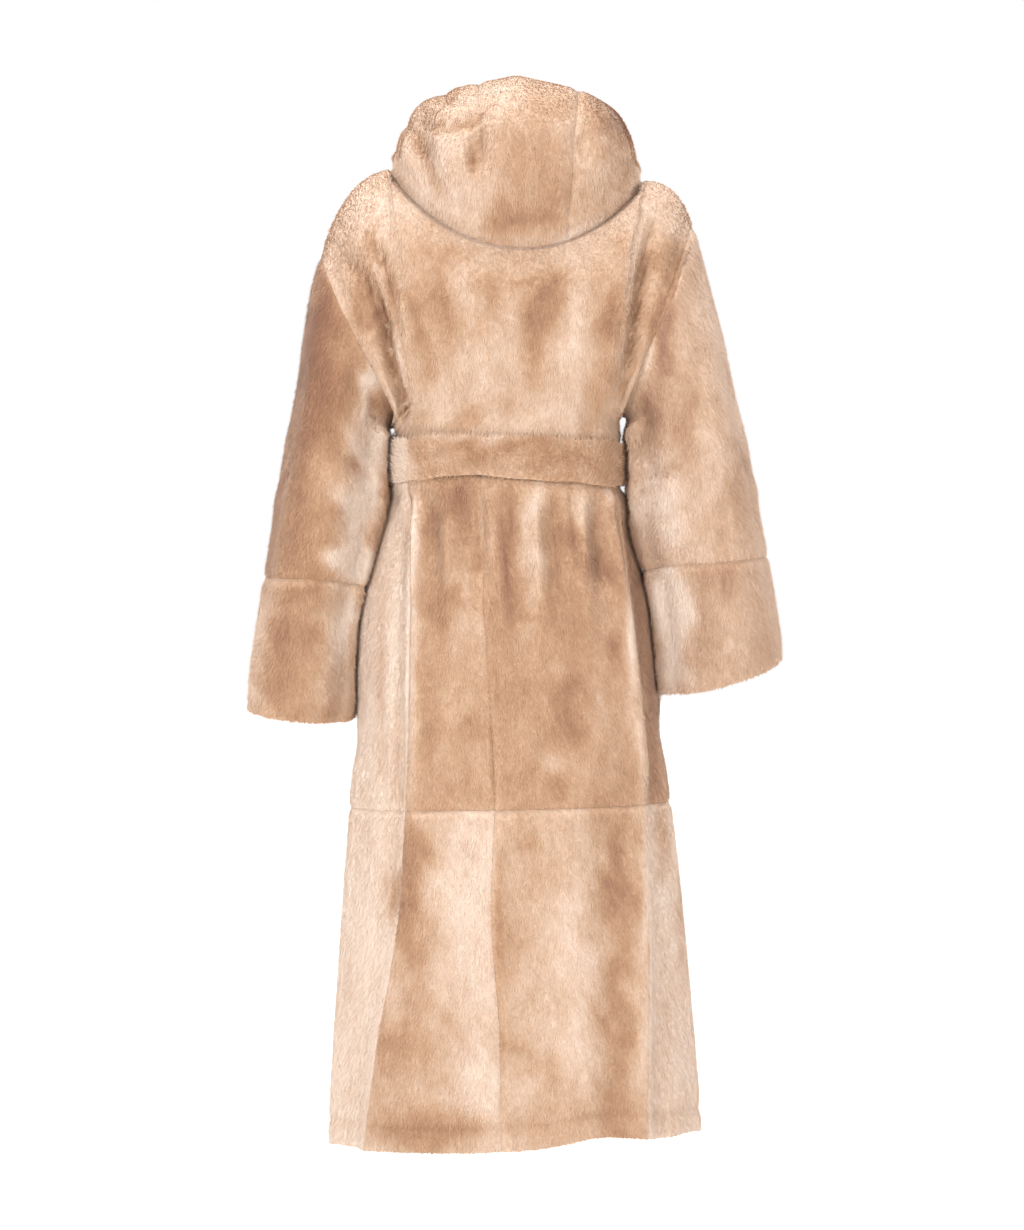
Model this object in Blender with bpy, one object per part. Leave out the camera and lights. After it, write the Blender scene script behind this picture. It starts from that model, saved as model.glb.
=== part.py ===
"""A long hooded coat of sheared sheepskin, belted at the waist, in the form it has when worn.

Every cut piece is a wall of its own, leather with its short fur, and the walls meet at the seams.
The wearer's front faces -Y and the left arm is on the +X side. The origin is the middle of the neck
opening at shoulder height. All sizes in the tables are in millimetres.
"""

import math

import bmesh
import bpy
import numpy as np
from mathutils import Vector

TO_METRES = 0.001

# ---- Cloth
WALL = 8.0  # leather with the sheared fur on it
SEAM_GAP = 0.3
TIGHT_GAP = 0.6  # the same for the sleeves' and hood's own edges, which meet the bodice at an angle
LAP_LIFT = 9.6  # the right front lies on the left one
CALM_DISTANCE = 30.0  # folds of the bodice, sleeves and hood begin this far from their seams
FOLD_FADE = 30.0  # a fold grows over twice this length at its ends
FOLD_SEEN = 1.6  # how soon a fold is at its full height where the cloth turns to its side

# ---- How finely two points are told apart, and the way along which the first of two is found
KEYS_PER_MM = 50
LIFT_KEYS_PER_MM = 10
SPLIT_WAY = (1.0, 0.37, 0.11)

# ---- How many steps each stretch has
SHOULDER_STEPS = 4
BACK_STEPS = 19
CENTRE_SEAM_STEP = 8  # the hood's left strip seam and the centre-back seam start here
GUSSET_STEPS = (8, 12)
FRONT_STEPS = 12
LAP_STEPS = 4  # how far each front reaches past the other's edge
SIDE_ROWS = 3
UPRIGHT_ROWS = 3  # the bodice's lowest rows, under the belt
ARMHOLE_ROWS = 10
HOOD_ROWS = 10
HOOD_FRONT_STEPS = 5
UPPER_TIER_ROWS = 11
LOWER_TIER_ROWS = 8
SIDE_SPREAD = (0.0, 0.1, 0.25, 0.55, 1.0)  # side panel steps, close together at its seam

# ---- The skirt's level sections, waist to hem. Left and right are the outline from behind, and the
# seams are where they show from behind, on the half that is nearer the eye.
SQUARENESS = 2.3
NEARER = 0.97
SEAM_REACH = 0.995  # a seam from behind lies no nearer to the very side than this share
SECTION_COLUMNS = ("z", "left", "right", "back", "front", "left_seam", "centre_seam", "right_seam")
SECTIONS = (
    (-384, 156, -143, 104, -100, 141, 44, -135),
    (-420, 156, -143, 105, -101, 141, 43, -136),
    (-450, 170, -157, 112, -106, 141, 43, -144),
    (-487, 182, -167, 119, -111, 141, 42, -151),
    (-530, 193, -179, 126, -117, 141, 41, -159),
    (-567, 202, -188, 131, -121, 142, 40, -165),
    (-625, 207, -194, 137, -126, 143, 35, -173),
    (-700, 208, -201, 143, -131, 144, 29, -181),
    (-839, 216, -215, 153, -139, 149, 23, -192),
    (-967, 225, -226, 163, -147, 157, 26, -193),
    (-1153, 237, -243, 177, -158, 189, 14, -191),
    (-1295, 245, -254, 187, -166, 209, 14, -189),
)
FRONT_SEAM_SHARE = 0.76
WAIST_Z = -384
BELT_FOOT_Z = -419  # the coat is upright down to here
TIER_Z = -838
TIER_SLOPE = -0.02
HEM_Z = -1280
HEM_SLOPE = -0.035
HEM_BACK_RISE = 6.0
HEM_BACK_REACH = 80.0  # how far behind the sides the back has its full rise
HEM_LIFTED_X = -115.0  # the hem is drawn up most here, at the back
HEM_LIFTED_RISE = 12.0
HEM_LIFTED_WIDTH = 60.0

# ---- Neck seam: an oval from above that dips at the back and more at the front
NECK_MIDDLE = -6
NECK_HALF_WIDTH = 170
NECK_BACK = 95
NECK_FRONT = 115
NECK_SIDE_Z = 3.5
NECK_TILT = 0.044
NECK_BACK_DROP = 108
NECK_FRONT_DROP = 160
NECK_BACK_POWER = 1.6
NECK_FRONT_POWER = 1.3

# ---- Armholes: ovals from the shoulder's end to the underarm
ARMHOLE_COLUMNS = ("top_x", "top_z", "under_x", "under_z", "half_depth", "crown_x", "crown_z")
ARMHOLES = {
    "left": (260, -109, 153, -330, 85, 226, 2),
    "right": (-246, -70, -146, -328, 88, -226, -3),
}
SIDE_SEAM_COLUMNS = ("share", "left", "right")
SIDE_SEAM = (
    (0.0, 156, -143),
    (0.4, 156, -143),
    (0.72, 155, -144),
    (1.0, 153, -146),
)

# ---- Bodice depth in its middle, from the waist up to the neck seam
CHEST_SQUARENESS = 0.9  # how much fuller at its sides the chest is than the waist
CHEST_SHARE = 0.4
BODICE_COLUMNS = ("share", "back", "front")
BODICE = (
    (0.0, 104, -100),
    (0.12, 104, -100),
    (0.28, 110, -106),
    (0.5, 118, -116),
    (0.75, 121, -121),
    (1.0, 108, -117),
)
TOP_BLEND = 4  # how late the depth goes over to that of the neck seam and shoulders

# ---- Sleeves: outer and inner end of each section from behind, its middle and half depth, and how
# far its back edge hangs below its front edge
SLEEVE_COLUMNS = ("outer_x", "outer_z", "inner_x", "inner_z", "middle", "half_depth", "back_drop")
SLEEVES = {
    "left": (
        (271, -150, 158, -333, 0, 86, 0),
        (280, -205, 164, -337, 1, 88, 0),
        (288, -262, 169, -343, 2, 90, 0),
        (299, -325, 172, -360, 3, 91, 0),
        (310, -392, 173, -402, 3, 92, 0),
        (318, -440, 175, -446, 2, 92, 0),
        (326, -492, 186, -497, 0, 92, 0),
        (333, -536, 198, -546, -2, 92, 0),
        (343, -600, 209, -604, -6, 92, 3),
        (351, -656, 213, -662, -10, 92, 6),
        (358, -710, 216, -724, -14, 92, 10),
    ),
    "right": (
        (-258, -112, -151, -333, 0, 88, 0),
        (-272, -167, -155, -341, 1, 88, 0),
        (-288, -228, -159, -352, 2, 87, 0),
        (-302, -292, -161, -370, 3, 86, 0),
        (-317, -360, -162, -402, 3, 85, 0),
        (-327, -415, -163, -436, 2, 84, 0),
        (-336, -465, -170, -477, 0, 83, 0),
        (-344, -508, -182, -524, -3, 82, 3),
        (-352, -556, -192, -572, -7, 82, 7),
        (-359, -602, -198, -626, -11, 82, 12),
        (-364, -643, -204, -685, -15, 82, 16),
    ),
}
SLEEVE_SEAM_STATION = {"left": 8, "right": 8}
SLEEVE_ROWS = 13

# ---- Hood: its profile over the middle of the head, and the face edge from its lower end to the top
PROFILE_COLUMNS = ("share", "y", "z")
PROFILE = (
    (0.0, 95, -97),
    (0.12, 118, -55),
    (0.27, 131, -4),
    (0.42, 124, 52),
    (0.56, 95, 103),
    (0.72, 40, 133),
    (0.86, -20, 138),
    (1.0, -78, 127),
)
HOOD_BULGE = 17.0  # how much fuller its sides are than the straight way from neck to face edge
HOOD_BULGE_POWER = 1.5
HOOD_SIDE_POWER = 1.8  # how much less than its back the sides bulge backwards
HOOD_LAP_SHARE = 0.5  # the front laps as far up the hood as this
FACE_EDGE_COLUMNS = ("share", "x", "y", "z")
FACE_EDGE = (
    (0.0, 52, -122, -105),
    (0.1, 84, -122, -66),
    (0.2, 120, -114, -12),
    (0.3, 128, -102, 42),
    (0.4, 90, -88, 96),
    (0.5, 0, -78, 127),
)

# ---- Folds, each a soft ridge (height over 0) or trough along a line seen from one side. "at" is x
# seen from the back or front, and y seen from the left or right.
FOLD_COLUMNS = ("face", "at_top", "z_top", "at_bottom", "z_bottom", "width", "height")
FOLDS = {
    "skirt": (
        ("back", 128, -452, 128, -560, 14, 6),
        ("back", 108, -452, 106, -540, 13, -5),
        ("back", 84, -452, 80, -600, 14, 6),
        ("back", 57, -452, 54, -550, 15, -5),
        ("back", 19, -452, 8, -620, 17, 7),
        ("back", -8, -452, -16, -570, 17, -6),
        ("back", -30, -452, -44, -630, 17, 6),
        ("back", -50, -452, -58, -570, 16, -6),
        ("back", -84, -452, -100, -620, 16, 6),
        ("back", -111, -452, -122, -550, 14, -5),
        ("back", -140, -470, -174, -800, 16, 7),
        ("back", 105, -700, 128, -1280, 30, 5),
        ("back", 66, -860, 84, -1290, 26, -6),
        ("back", 30, -860, 44, -1290, 24, 6),
        ("back", -8, -880, -22, -1290, 26, -6),
        ("back", -70, -800, -84, -1290, 30, 6),
        ("back", -128, -860, -140, -1290, 28, -6),
        ("left", 62, -470, 88, -1290, 24, -7),
        ("left", 18, -780, 24, -1290, 28, 6),
        ("left", -36, -720, -44, -1290, 26, -7),
        ("left", -84, -780, -98, -1290, 24, 6),
        ("right", 60, -470, 84, -1290, 24, -7),
        ("right", 12, -760, 14, -1290, 28, 6),
        ("right", -40, -720, -50, -1290, 26, -7),
        ("right", -88, -760, -104, -1290, 24, 6),
        ("front", 118, -452, 150, -1280, 24, 7),
        ("front", 84, -452, 108, -900, 20, -6),
        ("front", -108, -452, -140, -1280, 24, 7),
        ("front", -70, -452, -92, -980, 22, -6),
    ),
    "bodice": (
        ("back", 184, -150, 148, -330, 16, -12),
        ("back", 228, -104, 186, -150, 16, -7),
        ("back", 146, -170, 132, -305, 16, 6),
        ("back", -186, -75, -142, -330, 16, -9),
        ("back", -150, -120, -126, -305, 16, 5),
        ("back", -30, -210, -34, -330, 26, -4),
        ("back", 46, -190, 40, -300, 24, 4),
        ("front", 178, -140, 146, -330, 16, -10),
        ("front", -174, -110, -140, -330, 16, -10),
        ("front", 96, -180, 84, -305, 22, 5),
        ("front", -100, -190, -86, -305, 22, 5),
    ),
    "sleeve_left": (
        ("back", 186, -340, 206, -480, 20, -8),
        ("back", 232, -250, 262, -560, 28, 5),
        ("back", 206, -430, 226, -690, 24, -4),
        ("front", 200, -330, 236, -520, 22, -6),
        ("front", 262, -300, 300, -640, 24, 5),
        ("left", 36, -260, 28, -600, 22, -5),
        ("left", -24, -330, -30, -690, 24, 5),
    ),
    "sleeve_right": (
        ("back", -176, -330, -190, -450, 20, -7),
        ("back", -210, -240, -236, -470, 24, -6),
        ("back", -262, -330, -300, -650, 28, 5),
        ("back", -236, -520, -246, -670, 24, -4),
        ("front", -200, -330, -236, -520, 22, -6),
        ("front", -262, -300, -306, -600, 24, 5),
        ("right", 34, -240, 26, -560, 22, -5),
        ("right", -26, -320, -32, -640, 24, 5),
    ),
    "hood": (
        ("back", 134, 82, 112, 0, 16, -9),
        ("back", 112, 112, 60, 84, 15, -6),
        ("back", 58, 62, 44, 4, 14, -7),
        ("back", 96, 62, 84, -20, 22, 5),
        ("back", -92, 56, -98, -10, 16, -6),
        ("back", -140, 92, -120, 60, 18, 6),
        ("left", 40, 60, 20, 0, 20, -6),
        ("right", 36, 60, 16, 0, 20, -6),
    ),
}
FACES = {"back": (0, 1), "front": (0, -1), "left": (1, 0), "right": (-1, 0)}
EAR = (120, -50, 104)  # the face edge's turned corner at the top left
EAR_RADIUS = 30
EAR_HEIGHT = 14

# ---- The back panel's edges stand proud of the side panels
PROUD_EDGE = 5.0
PROUD_DISTANCE = 12.0
SUNK_SIDE = 11.0
SUNK_DISTANCE = 16.0
EDGE_WIDTH = 13.0
EDGE_START = 60.0  # both grow over this height below the belt

# ---- Belt
BELT_HALF_HEIGHT = 29.0
BELT_THICKNESS = 11.0
BELT_CLEARANCE = 0.8
BELT_Z = -379.0
BELT_TILT = 0.05
BELT_LAP_ROOM = 0.4
BELT_LIFT_STARTS = (200.0, 330.0)  # turns, in degrees, between which it runs over the lapped fronts
BELT_LIFT_RUNS = (36.0, 30.0)
BELT_SECTION_COLUMNS = ("out", "up")
BELT_SECTION = (
    (0.0, -0.72),
    (0.0, 0.72),
    (0.5, 1.0),
    (0.93, 0.7),
    (1.0, 0.0),
    (0.93, -0.7),
    (0.5, -1.0),
)
KNOT_WIDTH = 62.0
KNOT_DEPTH = 34.0
KNOT_HEIGHT = 74.0
KNOT_X = -4.0
KNOT_CUTS = 5
KNOT_SQUARENESS = 2.6
END_WIDTH = 56.0
END_LENGTH = 400.0
END_STEPS = 12
END_STEPS_ACROSS = 4
END_EDGE_SHARE = 0.55  # how thick its long edges are, as a share of the middle
END_TOP_LIFT = 14.0  # its top end stands off to meet the knot
END_TOP_RUN = 0.08
END_COLUMNS = ("x_top", "x_bottom")
ENDS = {"belt_end_left": (25, 36), "belt_end_right": (-33, -58)}
FINE_STEPS = 6

FUR_COLOURS = {
    "cream": (0.82, 0.66, 0.51, 1.0),
    "tan": (0.66, 0.44, 0.29, 1.0),
    "caramel": (0.52, 0.31, 0.19, 1.0),
}


# ---- Curves through tables

def smooth(at, values, where):
    """A smooth curve through values that never passes them by between two rows."""
    at = np.asarray(at, float)
    values = np.asarray(values, float)
    where = np.asarray(where, float)
    if at[0] > at[-1]:
        at = at[::-1]
        values = values[::-1]
    step = np.diff(at)
    slope = np.diff(values) / step
    tangent = np.zeros(len(at))
    tangent[0] = slope[0]
    tangent[-1] = slope[-1]
    same_way = slope[:-1] * slope[1:] > 0
    mean = 2 * slope[:-1] * slope[1:] / np.where(same_way, slope[:-1] + slope[1:], 1)
    tangent[1:-1] = np.where(same_way, mean, 0)
    i = np.clip(np.searchsorted(at, where) - 1, 0, len(step) - 1)
    t = np.clip((where - at[i]) / step[i], 0, 1)
    start = values[i] * (1 + 2 * t) * (1 - t) ** 2 + step[i] * tangent[i] * t * (1 - t) ** 2
    end = values[i + 1] * t * t * (3 - 2 * t) + step[i] * tangent[i + 1] * t * t * (t - 1)
    return start + end


def column(table, columns, name):
    return np.array([row[columns.index(name)] for row in table], float)


def read(table, columns, key, name, where):
    return smooth(column(table, columns, key), column(table, columns, name), where)


def ease(t):
    t = np.clip(t, 0, 1)
    return t * t * (3 - 2 * t)


def signed_power(value, power):
    return np.sign(value) * np.abs(value) ** power


# ---- The level sections below the waist

def section(name, z):
    return read(SECTIONS, SECTION_COLUMNS, "z", name, z)


def ring_point(z, turn):
    """A point of the skirt at height z. turn runs from the left side over the back, in radians."""
    left = section("left", z)
    right = section("right", z)
    depth = np.where(np.sin(turn) > 0, section("back", z), -section("front", z))
    x = (left + right) / 2 + (left - right) / 2 * signed_power(np.cos(turn), 2 / SQUARENESS)
    y = depth * signed_power(np.sin(turn), 2 / SQUARENESS)
    return np.stack([x, y, z + 0 * x], -1)


def turn_at(z, x):
    """Where on the back half of the section the seam at x lies."""
    left = section("left", z)
    right = section("right", z)
    share = np.clip((x - (left + right) / 2) / ((left - right) / 2), -SEAM_REACH, SEAM_REACH)
    return np.arccos(signed_power(share, SQUARENESS / 2))


def seam_turns(z):
    """The turns of the three back seams and the two front ones."""
    seams = [turn_at(z, NEARER * section(name, z)) for name in ("left_seam", "centre_seam", "right_seam")]
    front = math.acos(FRONT_SEAM_SHARE ** (SQUARENESS / 2))
    return seams + [2 * math.pi - (math.pi - front) + 0 * z, 2 * math.pi - front + 0 * z]


def step_between(start, end, shares):
    return start[..., None] + (end - start)[..., None] * np.asarray(shares)


def skirt_turns(z):
    """The turn of every column of the skirt at height z, from the left side all the way round."""
    left, centre, right, front_right, front_left = seam_turns(z)
    close = np.array(SIDE_SPREAD)
    runs = [
        step_between(left, 0 * z, close)[..., ::-1],
        step_between(left, centre, np.linspace(0, 1, CENTRE_SEAM_STEP + 1)),
        step_between(centre, right, np.linspace(0, 1, BACK_STEPS - CENTRE_SEAM_STEP + 1)),
        step_between(right, math.pi + 0 * z, close),
        step_between(front_right, math.pi + 0 * z, close)[..., ::-1],
        step_between(front_right, front_left, np.linspace(0, 1, FRONT_STEPS + 1)),
        step_between(front_left, 2 * math.pi + 0 * z, close),
    ]
    return np.concatenate([runs[0]] + [run[..., 1:] for run in runs[1:]], -1)


def waist_edge(x, y):
    return WAIST_Z + 0 * x


def tier_edge(x, y):
    return TIER_Z + TIER_SLOPE * x


def hem_edge(x, y):
    """The height of the hem over a point on the floor."""
    lifted = HEM_LIFTED_RISE * np.exp(-(((x - HEM_LIFTED_X) / HEM_LIFTED_WIDTH) ** 2))
    return HEM_Z + HEM_SLOPE * x + (HEM_BACK_RISE + lifted) * ease(y / HEM_BACK_REACH)


def skirt_grid(top_edge, bottom_edge, share):
    """Rows of the skirt between two edges, each a height for every x and y."""
    start = top_edge(0.0, 0.0)
    level = start + (bottom_edge(0.0, 0.0) - start) * share
    turns = skirt_turns(level)
    place = ring_point(level[:, None] + 0 * turns, turns)
    top = top_edge(place[..., 0], place[..., 1])
    bottom = bottom_edge(place[..., 0], place[..., 1])
    return ring_point(top + (bottom - top) * share[:, None], turns)


# ---- The bodice: neck seam, shoulders, armholes and the walls between

def neck_point(angle):
    """A point of the neck seam. The angle is 0 at the back and grows towards the left."""
    angle = np.asarray(angle, float)
    x = NECK_MIDDLE + NECK_HALF_WIDTH * np.sin(angle)
    deep = np.abs(np.cos(angle))
    behind = np.cos(angle) > 0
    y = np.where(behind, NECK_BACK, -NECK_FRONT) * deep
    drop = np.where(behind, NECK_BACK_DROP * deep**NECK_BACK_POWER, NECK_FRONT_DROP * deep**NECK_FRONT_POWER)
    z = NECK_SIDE_Z + NECK_TILT * (x - NECK_MIDDLE) - drop
    return np.stack([x, y, z], -1)


def armhole(side, name):
    return ARMHOLES[side][ARMHOLE_COLUMNS.index(name)]


def shoulder_seam(side, shares):
    """From the shoulder's end (0) to the neck seam (1)."""
    end = np.array([armhole(side, "top_x"), 0, armhole(side, "top_z")])
    crown = np.array([armhole(side, "crown_x"), 0, armhole(side, "crown_z")])
    neck = neck_point(math.pi / 2 if side == "left" else -math.pi / 2)
    t = np.asarray(shares)[:, None]
    return end * (1 - t) ** 2 + crown * 2 * t * (1 - t) + neck * t * t


def armhole_point(side, angle, toward):
    """A point of the armhole, 0 at the shoulder's end and pi at the underarm."""
    angle = np.asarray(angle)[..., None]
    top = np.array([armhole(side, "top_x"), 0, armhole(side, "top_z")])
    under = np.array([armhole(side, "under_x"), 0, armhole(side, "under_z")])
    out = np.array([0, toward * armhole(side, "half_depth"), 0])
    return (top + under) / 2 + (top - under) / 2 * np.cos(angle) + out * np.sin(angle)


def bodice_edge(side, toward):
    """The side seam from the waist up, then the armhole up to the shoulder's end."""
    share = np.linspace(0, 1, SIDE_ROWS + 1)
    under_z = armhole(side, "under_z")
    seam = np.zeros((SIDE_ROWS + 1, 3))
    seam[:, 0] = read(SIDE_SEAM, SIDE_SEAM_COLUMNS, "share", side, share)
    seam[:, 2] = WAIST_Z + (under_z - WAIST_Z) * share
    seam[-1, 0] = armhole(side, "under_x")
    angles = np.linspace(math.pi, 0, ARMHOLE_ROWS + 1)[1:]
    return np.concatenate([seam, armhole_point(side, angles, toward)])


def bodice_grid(toward):
    """The whole back (toward 1) or front (toward -1) wall, waist to neck, left side to right side."""
    count = BACK_STEPS if toward > 0 else FRONT_STEPS
    waist_turns = skirt_turns(np.array([float(WAIST_Z)]))[0]
    behind = 2 * SHOULDER_STEPS + BACK_STEPS
    turns = waist_turns[: behind + 1] if toward > 0 else waist_turns[behind:][::-1]
    bottom = ring_point(np.full(len(turns), float(WAIST_Z)), turns)
    angles = np.linspace(math.pi / 2, -math.pi / 2, count + 1)
    if toward < 0:
        angles = math.pi - angles
    shares = np.linspace(0, 1, SHOULDER_STEPS + 1)
    top = np.concatenate([
        shoulder_seam("left", shares)[:-1],
        neck_point(angles),
        shoulder_seam("right", shares)[::-1][1:],
    ])
    left = bodice_edge("left", toward)
    right = bodice_edge("right", toward)
    across = (bottom[:, 0] + top[:, 0]) / 2
    u = ((across - across[0]) / (across[-1] - across[0]))[None, :, None]
    v = np.linspace(0, 1, len(left))[:, None, None]
    grid = (1 - v) * bottom + v * top + (1 - u) * left[:, None] + u * right[:, None]
    grid -= (1 - u) * (1 - v) * bottom[0] + u * (1 - v) * bottom[-1] + (1 - u) * v * top[0] + u * v * top[-1]
    # The depth of each row is a rounded arch from its left edge to its right edge.
    height = (grid[..., 2] - bottom[:, 2]) / (top[:, 2] - bottom[:, 2])
    middle = read(BODICE, BODICE_COLUMNS, "share", "back" if toward > 0 else "front", height)
    share = 2 * (grid[..., 0] - left[:, None, 0]) / (right[:, None, 0] - left[:, None, 0]) - 1
    square = SQUARENESS + CHEST_SQUARENESS * ease(height / CHEST_SHARE)
    arch = (1 - np.clip(np.abs(share), 0, 1) ** square) ** (1 / square)
    sides = left[:, None, 1] * (1 - u[..., 0]) + right[:, None, 1] * u[..., 0]
    depth = sides + (middle - sides) * arch
    at_top = v[..., 0] ** TOP_BLEND
    grid[..., 1] = depth * (1 - at_top) + top[None, :, 1] * at_top
    grid[0] = bottom
    grid[-1] = top
    grid[:, 0] = left
    grid[:, -1] = right
    grid[1:UPRIGHT_ROWS, :, :2] = bottom[:, :2]
    return grid


# ---- Sleeves

def sleeve_loop(side):
    """The armhole as a closed loop, up the back and down the front."""
    up = armhole_point(side, np.linspace(math.pi, 0, ARMHOLE_ROWS + 1), 1)
    down = armhole_point(side, np.linspace(0, math.pi, ARMHOLE_ROWS + 1), -1)
    return np.concatenate([up, down[1:-1]])


def sleeve_grid(side):
    """Rows from the armhole to the cuff, and the row at which the lower piece starts."""
    loop = sleeve_loop(side)
    table = SLEEVES[side]
    stations = np.arange(1, len(table) + 1)
    start = dict(
        outer_x=armhole(side, "top_x"),
        outer_z=armhole(side, "top_z"),
        inner_x=armhole(side, "under_x"),
        inner_z=armhole(side, "under_z"),
        middle=0,
        half_depth=armhole(side, "half_depth"),
        back_drop=0,
    )
    seam = SLEEVE_SEAM_STATION[side]
    upper_rows = round(SLEEVE_ROWS * seam / len(table))
    where = np.concatenate([
        np.linspace(0, seam, upper_rows + 1),
        np.linspace(seam, len(table), SLEEVE_ROWS - upper_rows + 1)[1:],
    ])

    def along(name):
        values = np.concatenate([[start[name]], column(table, SLEEVE_COLUMNS, name)])
        return smooth(np.concatenate([[0], stations]), values, where)[:, None]

    round_angle = np.linspace(math.pi, -math.pi, 2 * ARMHOLE_ROWS + 1)[:-1]
    lengthwise = np.cos(round_angle)[None]
    sideways = np.sin(round_angle)[None]
    grid = np.zeros((len(where), len(round_angle), 3))
    grid[..., 0] = (along("outer_x") + along("inner_x")) / 2 + (along("outer_x") - along("inner_x")) / 2 * lengthwise
    grid[..., 1] = along("middle") + along("half_depth") * sideways
    grid[..., 2] = (along("outer_z") + along("inner_z")) / 2 + (along("outer_z") - along("inner_z")) / 2 * lengthwise
    grid[..., 2] -= along("back_drop") * sideways
    grid[0] = loop
    return grid, upper_rows


# ---- Hood

def hood_angles():
    """The neck angles of the hood's columns, from its left front corner over the back to the right."""
    step = math.pi / FRONT_STEPS
    left = math.pi / 2 + step * np.arange(HOOD_FRONT_STEPS, 0, -1)
    back = np.linspace(math.pi / 2, -math.pi / 2, BACK_STEPS + 1)
    return np.concatenate([left, back, -left[::-1]])


def hood_grid():
    """Ribs from the neck seam up over the head to the face edge, one for each column."""
    angles = hood_angles()
    neck = neck_point(angles)
    share = np.linspace(0, 1, len(angles))
    half = np.minimum(share, 1 - share)
    side = np.where(share < 0.5, 1.0, -1.0)
    edge = np.stack(
        [
            NECK_MIDDLE + side * read(FACE_EDGE, FACE_EDGE_COLUMNS, "share", "x", half),
            read(FACE_EDGE, FACE_EDGE_COLUMNS, "share", "y", half),
            read(FACE_EDGE, FACE_EDGE_COLUMNS, "share", "z", half),
        ],
        -1,
    )
    up = np.linspace(0, 1, HOOD_ROWS + 1)
    profile = np.stack([0 * up] + [read(PROFILE, PROFILE_COLUMNS, "share", name, up) for name in ("y", "z")], -1)
    rise = profile - (profile[:1] * (1 - up[:, None]) + profile[-1:] * up[:, None])
    full = 1 - np.abs(2 * share - 1) ** 2
    fullness = np.stack([full, full**HOOD_SIDE_POWER, full], -1)
    grid = neck[None] * (1 - up[:, None, None]) + edge[None] * up[:, None, None]
    grid += rise[:, None] * fullness[None]
    grid[..., 0] += HOOD_BULGE * np.sin(math.pi * up[:, None]).clip(0) ** HOOD_BULGE_POWER * np.sin(angles)[None]
    return grid


# ---- Folds and thickness

def fold_height(points, normals, part):
    """How far the folds of a part move its points out."""
    height = np.zeros(points.shape[:-1])
    for row in FOLDS[part]:
        fold = dict(zip(FOLD_COLUMNS, row))
        towards = np.array(FACES[fold["face"]])
        across = points[..., 0] if fold["face"] in ("back", "front") else points[..., 1]
        length = fold["z_top"] - fold["z_bottom"]
        down = (fold["z_top"] - points[..., 2]) / length
        line = fold["at_top"] + (fold["at_bottom"] - fold["at_top"]) * np.clip(down, 0, 1)
        fade = FOLD_FADE / length
        ends = ease((down + fade) / (2 * fade)) * ease((1 + fade - down) / (2 * fade))
        seen = ease((normals[..., :2] @ towards) * FOLD_SEEN)
        height += fold["height"] * ends * seen * np.exp(-(((across - line) / fold["width"]) ** 2))
    return height


def ear_height(points):
    return EAR_HEIGHT * np.exp(-((np.linalg.norm(points - np.array(EAR), axis=-1) / EAR_RADIUS) ** 2))


def proud_edges(points):
    """The back panel's two long edges stand out, and the side panels sink next to them."""
    z = points[..., 2]
    height = np.zeros(z.shape)
    for name, outward in (("left_seam", 1), ("right_seam", -1)):
        past = (points[..., 0] - NEARER * section(name, z)) * outward
        proud = PROUD_EDGE * np.exp(-(((past + PROUD_DISTANCE) / EDGE_WIDTH) ** 2))
        sunk = SUNK_SIDE * np.exp(-(((past - SUNK_DISTANCE) / EDGE_WIDTH) ** 2))
        height += np.where(points[..., 1] > 0, proud - sunk, 0)
    return height * ease((BELT_FOOT_Z - z) / EDGE_START)


def point_keys(grid, lift):
    """A key for each point, the same for two pieces that meet in it."""
    keys = np.concatenate([np.round(grid * KEYS_PER_MM), np.round(lift * LIFT_KEYS_PER_MM)[..., None]], -1)
    return [tuple(key) for key in keys.reshape(-1, 4).astype(int)]


def own_normals(grid, closed, outward):
    """The unit normals of one grid of points."""
    following = np.roll(grid, -1, 1) if closed else grid[:, 1:]
    here = grid if closed else grid[:, :-1]
    face = outward * np.cross(following[1:] - here[:-1], here[1:] - following[:-1])
    corner = np.zeros(grid.shape)
    rows, steps = face.shape[:2]
    for row in (0, 1):
        corner[row : row + rows, :steps] += face
        if closed:
            corner[row : row + rows] += np.roll(face, 1, 1)
        else:
            corner[row : row + rows, 1 : steps + 1] += face
    return corner / np.linalg.norm(corner, axis=-1, keepdims=True)


def shared_normals(pieces, shapes, lifts, bases):
    """Outward normals that pieces share where they meet, with each part of the coat counted once."""
    by_part = {}
    keys = {}
    for name, piece in pieces.items():
        keys[name] = point_keys(bases[name], lifts[name])
        normals = own_normals(shapes[name], piece["closed"], piece["outward"])
        for key, vector in zip(keys[name], normals.reshape(-1, 3)):
            parts = by_part.setdefault(key, {})
            parts[piece["part"]] = parts.get(piece["part"], 0) + vector
    total = {key: sum(v / np.linalg.norm(v) for v in parts.values()) for key, parts in by_part.items()}
    result = {}
    for name in pieces:
        normals = np.array([total[key] for key in keys[name]]).reshape(shapes[name].shape)
        result[name] = normals / np.linalg.norm(normals, axis=-1, keepdims=True)
    return result


def away_from_edge(edge, inner, closed):
    """Unit moves from an edge into its piece, square to the edge."""
    tangent = np.roll(edge, -1, 0) - np.roll(edge, 1, 0) if closed else np.gradient(edge, axis=0)
    tangent /= np.linalg.norm(tangent, axis=-1, keepdims=True)
    along = inner - edge
    along -= (along * tangent).sum(-1, keepdims=True) * tangent
    return along / np.linalg.norm(along, axis=-1, keepdims=True)


def drawn_back(grid, closed, distance):
    """How far each edge point moves into its own piece, which leaves the seam's gap."""
    move = np.zeros(grid.shape)
    for edge, inner in ((0, 1), (-1, -2)):
        move[edge] += distance * away_from_edge(grid[edge], grid[inner], closed)
        if not closed:
            move[:, edge] += distance * away_from_edge(grid[:, edge], grid[:, inner], False)
    return move


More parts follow.
